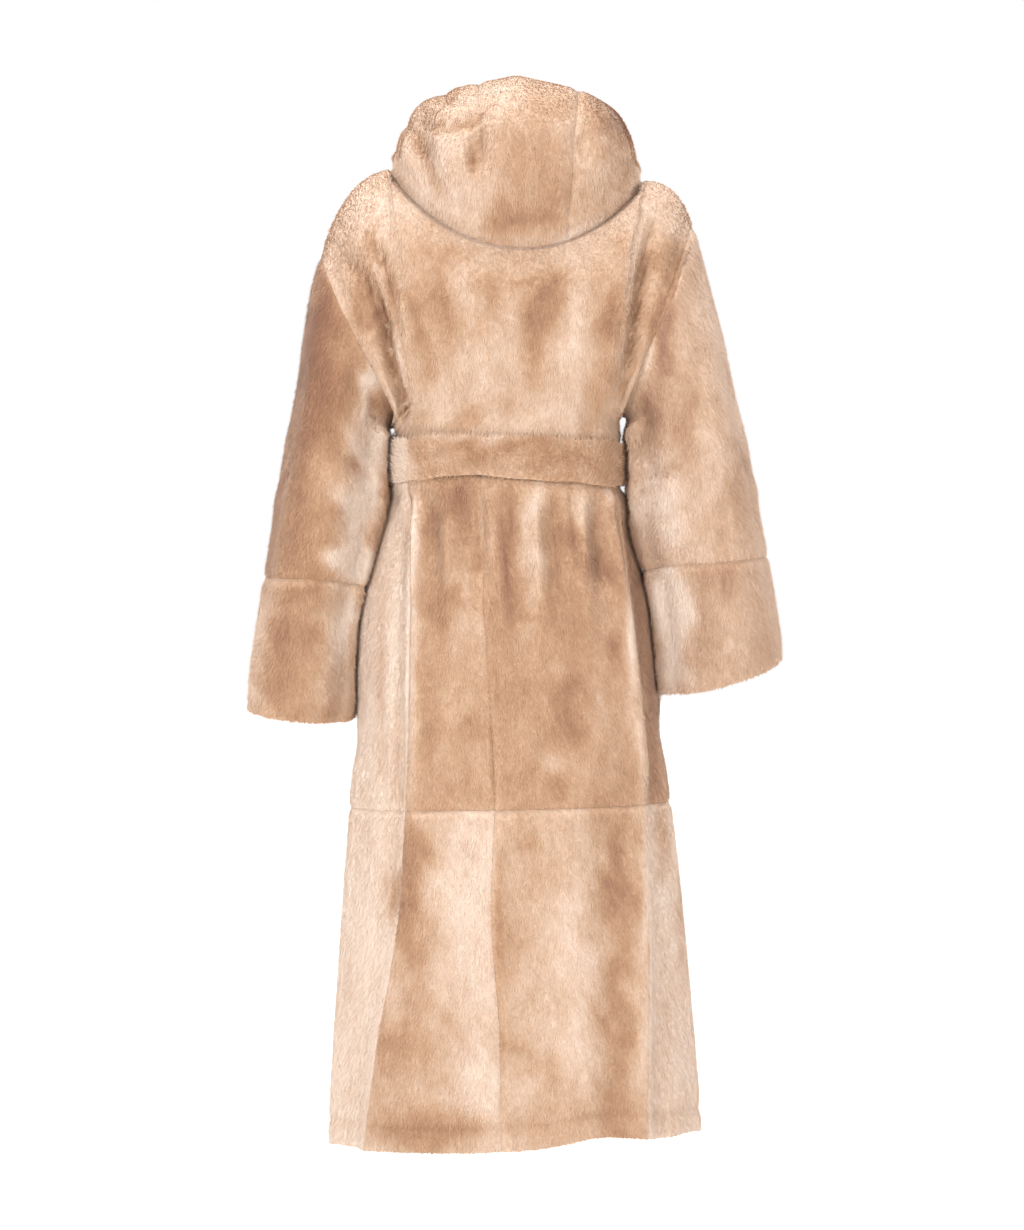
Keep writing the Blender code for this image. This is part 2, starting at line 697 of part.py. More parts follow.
def seam_calm(grid, part):
    """Folds fade out at the armholes and the neck seam, where parts share their points."""
    loops = {
        "bodice": (sleeve_loop("left"), sleeve_loop("right"), neck_point(hood_angles())),
        "sleeve_left": (sleeve_loop("left"),),
        "sleeve_right": (sleeve_loop("right"),),
        "hood": (neck_point(hood_angles()),),
        "skirt": (),
    }[part]
    away = np.full(grid.shape[:2], CALM_DISTANCE)
    for loop in loops:
        away = np.minimum(away, np.linalg.norm(grid[..., None, :] - loop, axis=-1).min(-1))
    return ease(away / CALM_DISTANCE)


def coat_pieces():
    """The outer points of every coat piece before folds, with its part, lift and which way is out."""
    under_belt = (BELT_FOOT_Z - WAIST_Z) / (TIER_Z - WAIST_Z)
    upper_rows = np.concatenate([[0], np.linspace(under_belt, 1, UPPER_TIER_ROWS)])
    upper = skirt_grid(waist_edge, tier_edge, upper_rows)
    lower = skirt_grid(tier_edge, hem_edge, np.linspace(0, 1, LOWER_TIER_ROWS + 1))
    back = bodice_grid(1)
    front = bodice_grid(-1)
    hood = hood_grid()
    last = SHOULDER_STEPS + BACK_STEPS
    side = last + 2 * SHOULDER_STEPS
    past_centre = FRONT_STEPS // 2 + LAP_STEPS // 2
    pieces = {}

    def add(name, grid, part, outward, colour, closed=False, lift=None):
        rise = np.zeros(grid.shape[:2]) if lift is None else np.broadcast_to(lift, grid.shape[:2])
        pieces[name] = dict(grid=grid, part=part, outward=outward, colour=colour, closed=closed, lift=rise)

    def lap(count, start_full):
        """Lift of the right front from its seam (0) to its free edge, full from start_full on."""
        return LAP_LIFT * ease(np.arange(count) / start_full)

    for tier, grid in (("upper", upper), ("lower", lower)):
        centre = SHOULDER_STEPS + CENTRE_SEAM_STEP
        right_lap = lap(past_centre + 1, FRONT_STEPS // 2 - LAP_STEPS // 2)
        round_left = np.concatenate([grid[:, -1 - SHOULDER_STEPS : -1], grid[:, : SHOULDER_STEPS + 1]], 1)
        add("skirt_back_left_" + tier, grid[:, SHOULDER_STEPS : centre + 1], "skirt", -1, "tan")
        add("skirt_back_right_" + tier, grid[:, centre : last + 1], "skirt", -1, "tan")
        add("skirt_side_right_" + tier, grid[:, last : side + 1], "skirt", -1, "cream")
        add("skirt_side_left_" + tier, round_left, "skirt", -1, "cream")
        add(
            "skirt_front_right_" + tier,
            grid[:, side : side + past_centre + 1],
            "skirt",
            -1,
            "tan",
            lift=right_lap[None],
        )
        add("skirt_front_left_" + tier, grid[:, side + FRONT_STEPS - past_centre : -SHOULDER_STEPS], "skirt", -1, "tan")
    add("bodice_back", back, "bodice", 1, "cream")
    reach = SHOULDER_STEPS + past_centre
    bodice_lap = np.zeros(reach + 1)
    bodice_lap[: past_centre + 1] = lap(past_centre + 1, FRONT_STEPS // 2 - LAP_STEPS // 2)[::-1]
    add("bodice_front_left", front[:, : reach + 1], "bodice", -1, "cream")
    add("bodice_front_right", front[:, -reach - 1 :], "bodice", -1, "cream", lift=bodice_lap[None])
    for arm, outward in (("left", 1), ("right", -1)):
        grid, seam = sleeve_grid(arm)
        add("sleeve_%s_upper" % arm, grid[: seam + 1], "sleeve_" + arm, outward, "caramel", closed=True)
        add("sleeve_%s_lower" % arm, grid[seam:], "sleeve_" + arm, outward, "tan", closed=True)
    first, second = (HOOD_FRONT_STEPS + step for step in GUSSET_STEPS)
    hood_lap = np.zeros(hood.shape[1])
    hood_lap[-HOOD_FRONT_STEPS - 1 :] = lap(HOOD_FRONT_STEPS + 1, FRONT_STEPS // 2 - LAP_STEPS // 2)
    settling = ease(1 - np.linspace(0, 1, hood.shape[0]) / HOOD_LAP_SHARE)[:, None]
    add("hood_left", hood[:, : first + 1], "hood", 1, "cream")
    add("hood_center", hood[:, first : second + 1], "hood", 1, "tan")
    add("hood_right", hood[:, second:], "hood", 1, "tan", lift=(settling * hood_lap[None])[:, second:])
    return pieces


def coat_walls():
    """The outer and inner points of every coat piece."""
    pieces = coat_pieces()
    bases = {name: piece["grid"] for name, piece in pieces.items()}
    lifts = {name: piece["lift"] for name, piece in pieces.items()}
    flat = {name: 0 * lift for name, lift in lifts.items()}
    normals = shared_normals(pieces, bases, flat, bases)
    outer = {}
    for name, piece in pieces.items():
        height = fold_height(piece["grid"], normals[name], piece["part"])
        if piece["part"] == "skirt":
            height = height + proud_edges(piece["grid"])
        if piece["part"] == "hood":
            height = height + ear_height(piece["grid"])
        height = height * seam_calm(piece["grid"], piece["part"])
        outer[name] = piece["grid"] + normals[name] * (height + piece["lift"])[..., None]
    thick = shared_normals(pieces, outer, lifts, bases)
    walls = {}
    for name, piece in pieces.items():
        back_off = drawn_back(outer[name], piece["closed"], SEAM_GAP / 2)
        if name.startswith("hood") or name.startswith("sleeve") and name.endswith("upper"):
            back_off[0] *= TIGHT_GAP / SEAM_GAP
        inner = outer[name] - thick[name] * WALL
        walls[name] = (outer[name] + back_off, inner + back_off, piece)
    return walls


# ---- Making the solids

def clear_scene():
    for item in list(bpy.data.objects):
        bpy.data.objects.remove(item, do_unlink=True)


def material(name, colour):
    made = bpy.data.materials.new(name)
    made.use_nodes = True
    shader = made.node_tree.nodes["Principled BSDF"]
    shader.inputs["Base Color"].default_value = colour
    shader.inputs["Roughness"].default_value = 0.9
    shader.inputs["Metallic"].default_value = 0.0
    made.diffuse_color = colour
    return made


def add_object(name, bm, colour):
    bmesh.ops.recalc_face_normals(bm, faces=bm.faces)
    if bm.calc_volume(signed=True) < 0:
        bmesh.ops.reverse_faces(bm, faces=bm.faces)
    bmesh.ops.triangulate(bm, faces=bm.faces, quad_method="SHORT_EDGE")
    mesh = bpy.data.meshes.new(name)
    bm.to_mesh(mesh)
    bm.free()
    mesh.shade_smooth()
    mesh.materials.append(material(name, FUR_COLOURS[colour]))
    item = bpy.data.objects.new(name, mesh)
    bpy.context.scene.collection.objects.link(item)
    return item


def sheet_faces(bm, grid, closed):
    """One sheet of four-sided faces through a grid of points."""
    verts = [[bm.verts.new(point * TO_METRES) for point in row] for row in grid]
    faces = []
    steps = len(verts[0]) if closed else len(verts[0]) - 1
    for row in range(len(verts) - 1):
        for step in range(steps):
            after = (step + 1) % len(verts[0])
            corners = (verts[row][step], verts[row][after], verts[row + 1][after], verts[row + 1][step])
            faces.append(bm.faces.new(corners))
    return verts, faces


def split_seam_faces(bm, outer_verts):
    """Splits each twisted seam face along the same diagonal in both pieces that meet in it."""
    for face in list(bm.faces):
        corners = list(face.verts)
        outer = [vert for vert in corners if vert in outer_verts]
        if len(outer) == 2:
            start = max(outer, key=lambda vert: vert.co @ Vector(SPLIT_WAY))
            opposite = corners[(corners.index(start) + 2) % 4]
            bmesh.utils.face_split(face, start, opposite)


def make_wall(name, outer, inner, closed, colour):
    """A wall between its outer and inner points: the outer sheet, pushed through to the inner one."""
    bm = bmesh.new()
    verts, faces = sheet_faces(bm, outer, closed)
    pushed = bmesh.ops.extrude_face_region(bm, geom=faces, use_keep_orig=True)
    place = {}
    for row_verts, row_points in zip(verts, inner):
        for vert, point in zip(row_verts, row_points):
            place[tuple(vert.co)] = point * TO_METRES
    for element in pushed["geom"]:
        if isinstance(element, bmesh.types.BMVert):
            element.co = place[tuple(element.co)]
    split_seam_faces(bm, {vert for row in verts for vert in row})
    return add_object(name, bm, colour)


def make_ring(name, rows, colour):
    """A closed band: each row is one closed section, and the last row meets the first."""
    bm = bmesh.new()
    verts = [[bm.verts.new(point * TO_METRES) for point in row] for row in rows]
    for row, ring in enumerate(verts):
        following = verts[(row + 1) % len(verts)]
        for step in range(len(ring)):
            after = (step + 1) % len(ring)
            bm.faces.new((ring[step], ring[after], following[after], following[step]))
    return add_object(name, bm, colour)


def belt_front_lift(turns):
    """The belt runs over the lapped fronts, a little wider than the lap."""
    angle = np.degrees(turns)
    first, last = BELT_LIFT_STARTS
    rise, fall = BELT_LIFT_RUNS
    return (LAP_LIFT + BELT_LAP_ROOM) * ease((angle - first) / rise) * ease((last - angle) / fall)


def make_belt():
    turns = skirt_turns(np.array([float(WAIST_Z)]))[0][:-1]
    base = ring_point(np.full(len(turns), float(WAIST_Z)), turns)
    along = np.roll(base, -1, 0) - np.roll(base, 1, 0)
    out = np.stack([along[:, 1], -along[:, 0], 0 * along[:, 0]], -1)
    out /= np.linalg.norm(out, axis=-1, keepdims=True)
    start = base + out * (BELT_CLEARANCE + belt_front_lift(turns))[:, None]
    start[:, 2] = BELT_Z + BELT_TILT * start[:, 0]
    thick = BELT_THICKNESS * column(BELT_SECTION, BELT_SECTION_COLUMNS, "out")
    up = BELT_HALF_HEIGHT * column(BELT_SECTION, BELT_SECTION_COLUMNS, "up")
    rows = start[:, None] + out[:, None] * thick[:, None] + np.array([0, 0, 1]) * up[:, None]
    make_ring("belt_band", rows, "tan")


def belt_face_y(x):
    """How far forward the belt's outer face is at x."""
    z = np.array([float(WAIST_Z)])
    left = section("left", z)
    right = section("right", z)
    share = (x - (left + right) / 2) / ((left - right) / 2)
    depth = section("front", z) * (1 - np.abs(share) ** SQUARENESS) ** (1 / SQUARENESS)
    return depth[0] - BELT_CLEARANCE - LAP_LIFT - BELT_LAP_ROOM - BELT_THICKNESS


def make_knot():
    """The belt's knot, a full rounded block with flattened sides, in front of the band."""
    bm = bmesh.new()
    bmesh.ops.create_cube(bm, size=2.0)
    bmesh.ops.subdivide_edges(bm, edges=bm.edges, cuts=KNOT_CUTS, use_grid_fill=True)
    middle_z = BELT_Z + BELT_TILT * KNOT_X
    size = np.array([KNOT_WIDTH, KNOT_DEPTH, KNOT_HEIGHT]) / 2
    forward = belt_face_y(KNOT_X) - SEAM_GAP - KNOT_DEPTH / 2
    for vert in bm.verts:
        spot = np.array(vert.co)
        spot /= (np.abs(spot) ** KNOT_SQUARENESS).sum() ** (1 / KNOT_SQUARENESS)
        vert.co = (spot * size + np.array([KNOT_X, forward, middle_z])) * TO_METRES
    add_object("belt_knot", bm, "tan")


def front_y(panel, x, z):
    """How far forward a front panel is at each x and z."""
    y = np.zeros(x.shape)
    for place in np.ndindex(x.shape):
        start = (x[place] * TO_METRES, -1.0, z[place] * TO_METRES)
        y[place] = panel.ray_cast(start, (0.0, 1.0, 0.0))[1][1] / TO_METRES
    return y


def finer(grid):
    """The same surface with more rows and steps."""
    rows = np.linspace(0, grid.shape[0] - 1, (grid.shape[0] - 1) * FINE_STEPS + 1)
    steps = np.linspace(0, grid.shape[1] - 1, (grid.shape[1] - 1) * FINE_STEPS + 1)
    tall = np.array([np.interp(rows, np.arange(grid.shape[0]), line) for line in grid.T]).T
    return np.array([np.interp(steps, np.arange(grid.shape[1]), line) for line in tall])


def make_belt_end(name, panel, x_top, x_bottom):
    """A belt end that hangs on the right front from under the knot, touching its highest folds."""
    down = np.linspace(0, 1, END_STEPS + 1)
    top_z = BELT_Z + BELT_TILT * KNOT_X - KNOT_HEIGHT / 2 - SEAM_GAP
    across = np.linspace(-0.5, 0.5, END_STEPS_ACROSS + 1)[None] * END_WIDTH
    x = (x_top + (x_bottom - x_top) * ease(down))[:, None] + across
    z = (top_z - END_LENGTH * down)[:, None] + 0 * across
    y = front_y(panel, x, z)
    sunk = (finer(y) - front_y(panel, finer(x), finer(z))).max()
    y = y - sunk - SEAM_GAP - END_TOP_LIFT * ease(1 - down / END_TOP_RUN)[:, None]
    inner = np.stack([x, y, z], -1)
    round_edge = 1 - np.abs(across / (END_WIDTH / 2)) ** 3
    thick = BELT_THICKNESS * (END_EDGE_SHARE + (1 - END_EDGE_SHARE) * round_edge)
    outer = inner - np.stack([0 * x, thick + 0 * x, 0 * x], -1)
    make_wall(name, outer, inner, False, "tan")


def main():
    clear_scene()
    made = {}
    for name, (outer, inner, piece) in coat_walls().items():
        made[name] = make_wall(name, outer, inner, piece["closed"], piece["colour"])
    make_belt()
    make_knot()
    bpy.context.view_layer.update()
    for name, row in ENDS.items():
        make_belt_end(name, made["skirt_front_right_upper"], **dict(zip(END_COLUMNS, row)))


main()
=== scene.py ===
"""The looks of a long hooded coat of sheared sheepskin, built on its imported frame.

Each cut piece is a thin shell of leather on the form of its solid, with the creases that are too
fine for the solid, and the sheared fur stands on it as short blades. The front faces -Y, the left
arm is on the +X side, and the tables are in millimetres.
"""

import math
import bmesh
import bpy
import numpy as np
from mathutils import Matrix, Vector


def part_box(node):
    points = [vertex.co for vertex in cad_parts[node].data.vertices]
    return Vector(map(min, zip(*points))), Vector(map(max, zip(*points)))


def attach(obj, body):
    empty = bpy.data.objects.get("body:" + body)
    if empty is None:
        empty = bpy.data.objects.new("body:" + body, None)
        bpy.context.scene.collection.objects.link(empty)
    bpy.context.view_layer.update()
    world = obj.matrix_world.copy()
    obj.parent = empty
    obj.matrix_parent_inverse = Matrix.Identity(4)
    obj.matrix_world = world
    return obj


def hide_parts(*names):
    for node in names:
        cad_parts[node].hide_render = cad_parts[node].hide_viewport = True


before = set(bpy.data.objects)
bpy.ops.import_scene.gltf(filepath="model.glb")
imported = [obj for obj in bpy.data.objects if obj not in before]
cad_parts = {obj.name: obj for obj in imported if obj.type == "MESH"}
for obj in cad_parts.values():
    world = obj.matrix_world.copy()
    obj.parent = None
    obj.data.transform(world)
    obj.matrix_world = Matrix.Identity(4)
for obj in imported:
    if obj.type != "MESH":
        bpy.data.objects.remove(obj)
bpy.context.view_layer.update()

TO_METRES = 0.001

# ---- The eye behind the coat, level with its middle
EYE_DISTANCE = 4500.0
EYE_Z = -587.0
HALF_VIEW = 820.0
SENSOR_HEIGHT = 24.0

# ---- The hide: the solid's wall holds the leather and, outside it, the fur
WALL = 8.0
FUR_ROOM = 4.6
SEAM_GAP = 0.3
LEAST_WALL = 1.0
LAP_LIFT = 9.6
CALM_DISTANCE = 30.0
FOLD_FADE = 30.0
FOLD_SEEN = 1.6
KEYS_PER_MM = 50
LIFT_KEYS_PER_MM = 10

# ---- Steps of each stretch
FINER = 3
SHOULDER_STEPS = 4 * FINER
BACK_STEPS = 19 * FINER
CENTRE_SEAM_STEP = 8 * FINER
GUSSET_STEPS = (8 * FINER, 12 * FINER)
FRONT_STEPS = 12 * FINER
LAP_STEPS = 4 * FINER
SIDE_ROWS = 3 * FINER
UPRIGHT_ROWS = 2 * FINER
ARMHOLE_ROWS = 10 * FINER
HOOD_ROWS = 36
HOOD_FRONT_STEPS = 5 * FINER
UPPER_TIER_ROWS = 60
LOWER_TIER_ROWS = 56
SLEEVE_ROWS = 72
SIDE_SPREAD = (0.0, 0.1, 0.25, 0.55, 1.0)

# ---- The skirt's level sections, as in the solids
SQUARENESS = 2.3
NEARER = 0.97
SEAM_REACH = 0.995
SECTION_COLUMNS = ("z", "left", "right", "back", "front", "left_seam", "centre_seam", "right_seam")
SECTIONS = (
    (-384, 156, -143, 104, -100, 141, 44, -135),
    (-420, 156, -143, 105, -101, 141, 43, -136),
    (-450, 170, -157, 112, -106, 141, 43, -144),
    (-487, 182, -167, 119, -111, 141, 42, -151),
    (-530, 193, -179, 126, -117, 141, 41, -159),
    (-567, 202, -188, 131, -121, 142, 40, -165),
    (-625, 207, -194, 137, -126, 143, 35, -173),
    (-700, 208, -201, 143, -131, 144, 29, -181),
    (-839, 216, -215, 153, -139, 149, 23, -192),
    (-967, 225, -226, 163, -147, 157, 26, -193),
    (-1153, 237, -243, 177, -158, 189, 14, -191),
    (-1295, 245, -254, 187, -166, 209, 14, -189),
)
FRONT_SEAM_SHARE = 0.76
WAIST_Z = -384.0
BELT_FOOT_Z = -419
TIER_Z = -838
TIER_SLOPE = -0.02
HEM_Z = -1280
HEM_SLOPE = -0.035
HEM_BACK_RISE = 6.0
HEM_BACK_REACH = 80.0
HEM_LIFTED_X = -115.0
HEM_LIFTED_RISE = 12.0
HEM_LIFTED_WIDTH = 60.0

# ---- Neck seam and armholes
NECK_MIDDLE = -6
NECK_HALF_WIDTH = 170
NECK_BACK = 95
NECK_FRONT = 115
NECK_SIDE_Z = 3.5
NECK_TILT = 0.044
NECK_BACK_DROP = 108
NECK_FRONT_DROP = 160
NECK_BACK_POWER = 1.6
NECK_FRONT_POWER = 1.3
ARMHOLE_COLUMNS = ("top_x", "top_z", "under_x", "under_z", "half_depth", "crown_x", "crown_z")
ARMHOLES = {
    "left": (260, -109, 153, -330, 85, 226, 2),
    "right": (-246, -70, -146, -328, 88, -226, -3),
}
SIDE_SEAM_COLUMNS = ("share", "left", "right")
SIDE_SEAM = (
    (0.0, 156, -143),
    (0.4, 156, -143),
    (0.72, 155, -144),
    (1.0, 153, -146),
)
CHEST_SQUARENESS = 0.9
CHEST_SHARE = 0.4
BODICE_COLUMNS = ("share", "back", "front")
BODICE = (
    (0.0, 104, -100),
    (0.12, 104, -100),
    (0.28, 110, -106),
    (0.5, 118, -116),
    (0.75, 121, -121),
    (1.0, 108, -117),
)
TOP_BLEND = 4

# ---- Sleeves
SLEEVE_COLUMNS = ("outer_x", "outer_z", "inner_x", "inner_z", "middle", "half_depth", "back_drop")
SLEEVES = {
    "left": (
        (271, -150, 158, -333, 0, 86, 0), (280, -205, 164, -337, 1, 88, 0),
        (288, -262, 169, -343, 2, 90, 0), (299, -325, 172, -360, 3, 91, 0),
        (310, -392, 173, -402, 3, 92, 0), (318, -440, 175, -446, 2, 92, 0),
        (326, -492, 186, -497, 0, 92, 0), (333, -536, 198, -546, -2, 92, 0),
        (343, -600, 209, -604, -6, 92, 3), (351, -656, 213, -662, -10, 92, 6),
        (358, -710, 216, -724, -14, 92, 10),
    ),
    "right": (
        (-258, -112, -151, -333, 0, 88, 0), (-272, -167, -155, -341, 1, 88, 0),
        (-288, -228, -159, -352, 2, 87, 0), (-302, -292, -161, -370, 3, 86, 0),
        (-317, -360, -162, -402, 3, 85, 0), (-327, -415, -163, -436, 2, 84, 0),
        (-336, -465, -170, -477, 0, 83, 0), (-344, -508, -182, -524, -3, 82, 3),
        (-352, -556, -192, -572, -7, 82, 7), (-359, -602, -198, -626, -11, 82, 12),
        (-364, -643, -204, -685, -15, 82, 16),
    ),
}
SLEEVE_SEAM_STATION = {"left": 8, "right": 8}

# ---- Hood
PROFILE_COLUMNS = ("share", "y", "z")
PROFILE = (
    (0.0, 95, -97),
    (0.12, 118, -55),
    (0.27, 131, -4),
    (0.42, 124, 52),
    (0.56, 95, 103),
    (0.72, 40, 133),
    (0.86, -20, 138),
    (1.0, -78, 127),
)
HOOD_BULGE = 17.0
HOOD_BULGE_POWER = 1.5
HOOD_SIDE_POWER = 1.8
HOOD_LAP_SHARE = 0.5
FACE_EDGE_COLUMNS = ("share", "x", "y", "z")
FACE_EDGE = (
    (0.0, 52, -122, -105),
    (0.1, 84, -122, -66),
    (0.2, 120, -114, -12),
    (0.3, 128, -102, 42),
    (0.4, 90, -88, 96),
    (0.5, 0, -78, 127),
)

# ---- The large folds of the solids
FOLD_COLUMNS = ("at_top", "z_top", "at_bottom", "z_bottom", "width", "height")
FOLDS = {
    "skirt": {
        "back": (
            (128, -452, 128, -560, 14, 6), (108, -452, 106, -540, 13, -5), (84, -452, 80, -600, 14, 6),
            (57, -452, 54, -550, 15, -5), (19, -452, 8, -620, 17, 7), (-8, -452, -16, -570, 17, -6),
            (-30, -452, -44, -630, 17, 6), (-50, -452, -58, -570, 16, -6), (-84, -452, -100, -620, 16, 6),
            (-111, -452, -122, -550, 14, -5), (-140, -470, -174, -800, 16, 7),
            (105, -700, 128, -1280, 30, 5), (66, -860, 84, -1290, 26, -6), (30, -860, 44, -1290, 24, 6),
            (-8, -880, -22, -1290, 26, -6), (-70, -800, -84, -1290, 30, 6),
            (-128, -860, -140, -1290, 28, -6),
        ),
        "left": (
            (62, -470, 88, -1290, 24, -7), (18, -780, 24, -1290, 28, 6), (-36, -720, -44, -1290, 26, -7),
            (-84, -780, -98, -1290, 24, 6),
        ),
        "right": (
            (60, -470, 84, -1290, 24, -7), (12, -760, 14, -1290, 28, 6), (-40, -720, -50, -1290, 26, -7),
            (-88, -760, -104, -1290, 24, 6),
        ),
        "front": (
            (118, -452, 150, -1280, 24, 7), (84, -452, 108, -900, 20, -6),
            (-108, -452, -140, -1280, 24, 7), (-70, -452, -92, -980, 22, -6),
        ),
    },
    "bodice": {
        "back": (
            (184, -150, 148, -330, 16, -12), (228, -104, 186, -150, 16, -7),
            (146, -170, 132, -305, 16, 6), (-186, -75, -142, -330, 16, -9),
            (-150, -120, -126, -305, 16, 5), (-30, -210, -34, -330, 26, -4), (46, -190, 40, -300, 24, 4),
        ),
        "front": (
            (178, -140, 146, -330, 16, -10), (-174, -110, -140, -330, 16, -10),
            (96, -180, 84, -305, 22, 5), (-100, -190, -86, -305, 22, 5),
        ),
    },
    "sleeve_left": {
        "back": (
            (186, -340, 206, -480, 20, -8), (232, -250, 262, -560, 28, 5), (206, -430, 226, -690, 24, -4),
        ),
        "front": ((200, -330, 236, -520, 22, -6), (262, -300, 300, -640, 24, 5)),
        "left": ((36, -260, 28, -600, 22, -5), (-24, -330, -30, -690, 24, 5)),
    },
    "sleeve_right": {
        "back": (
            (-176, -330, -190, -450, 20, -7), (-210, -240, -236, -470, 24, -6),
            (-262, -330, -300, -650, 28, 5), (-236, -520, -246, -670, 24, -4),
        ),
        "front": ((-200, -330, -236, -520, 22, -6), (-262, -300, -306, -600, 24, 5)),
        "right": ((34, -240, 26, -560, 22, -5), (-26, -320, -32, -640, 24, 5)),
    },
    "hood": {
        "back": (
            (134, 82, 112, 0, 16, -9), (112, 112, 60, 84, 15, -6), (58, 62, 44, 4, 14, -7),
            (96, 62, 84, -20, 22, 5), (-92, 56, -98, -10, 16, -6), (-140, 92, -120, 60, 18, 6),
        ),
        "left": ((40, 60, 20, 0, 20, -6),),
        "right": ((36, 60, 16, 0, 20, -6),),
    },
}
FACES = {"back": (0, 1), "front": (0, -1), "left": (1, 0), "right": (-1, 0)}
EAR = (120, -50, 104)
EAR_RADIUS = 26
EAR_HEIGHT = 16
PROUD_EDGE = 5.0
PROUD_DISTANCE = 12.0
SUNK_SIDE = 11.0
SUNK_DISTANCE = 16.0
EDGE_WIDTH = 13.0
EDGE_START = 60.0

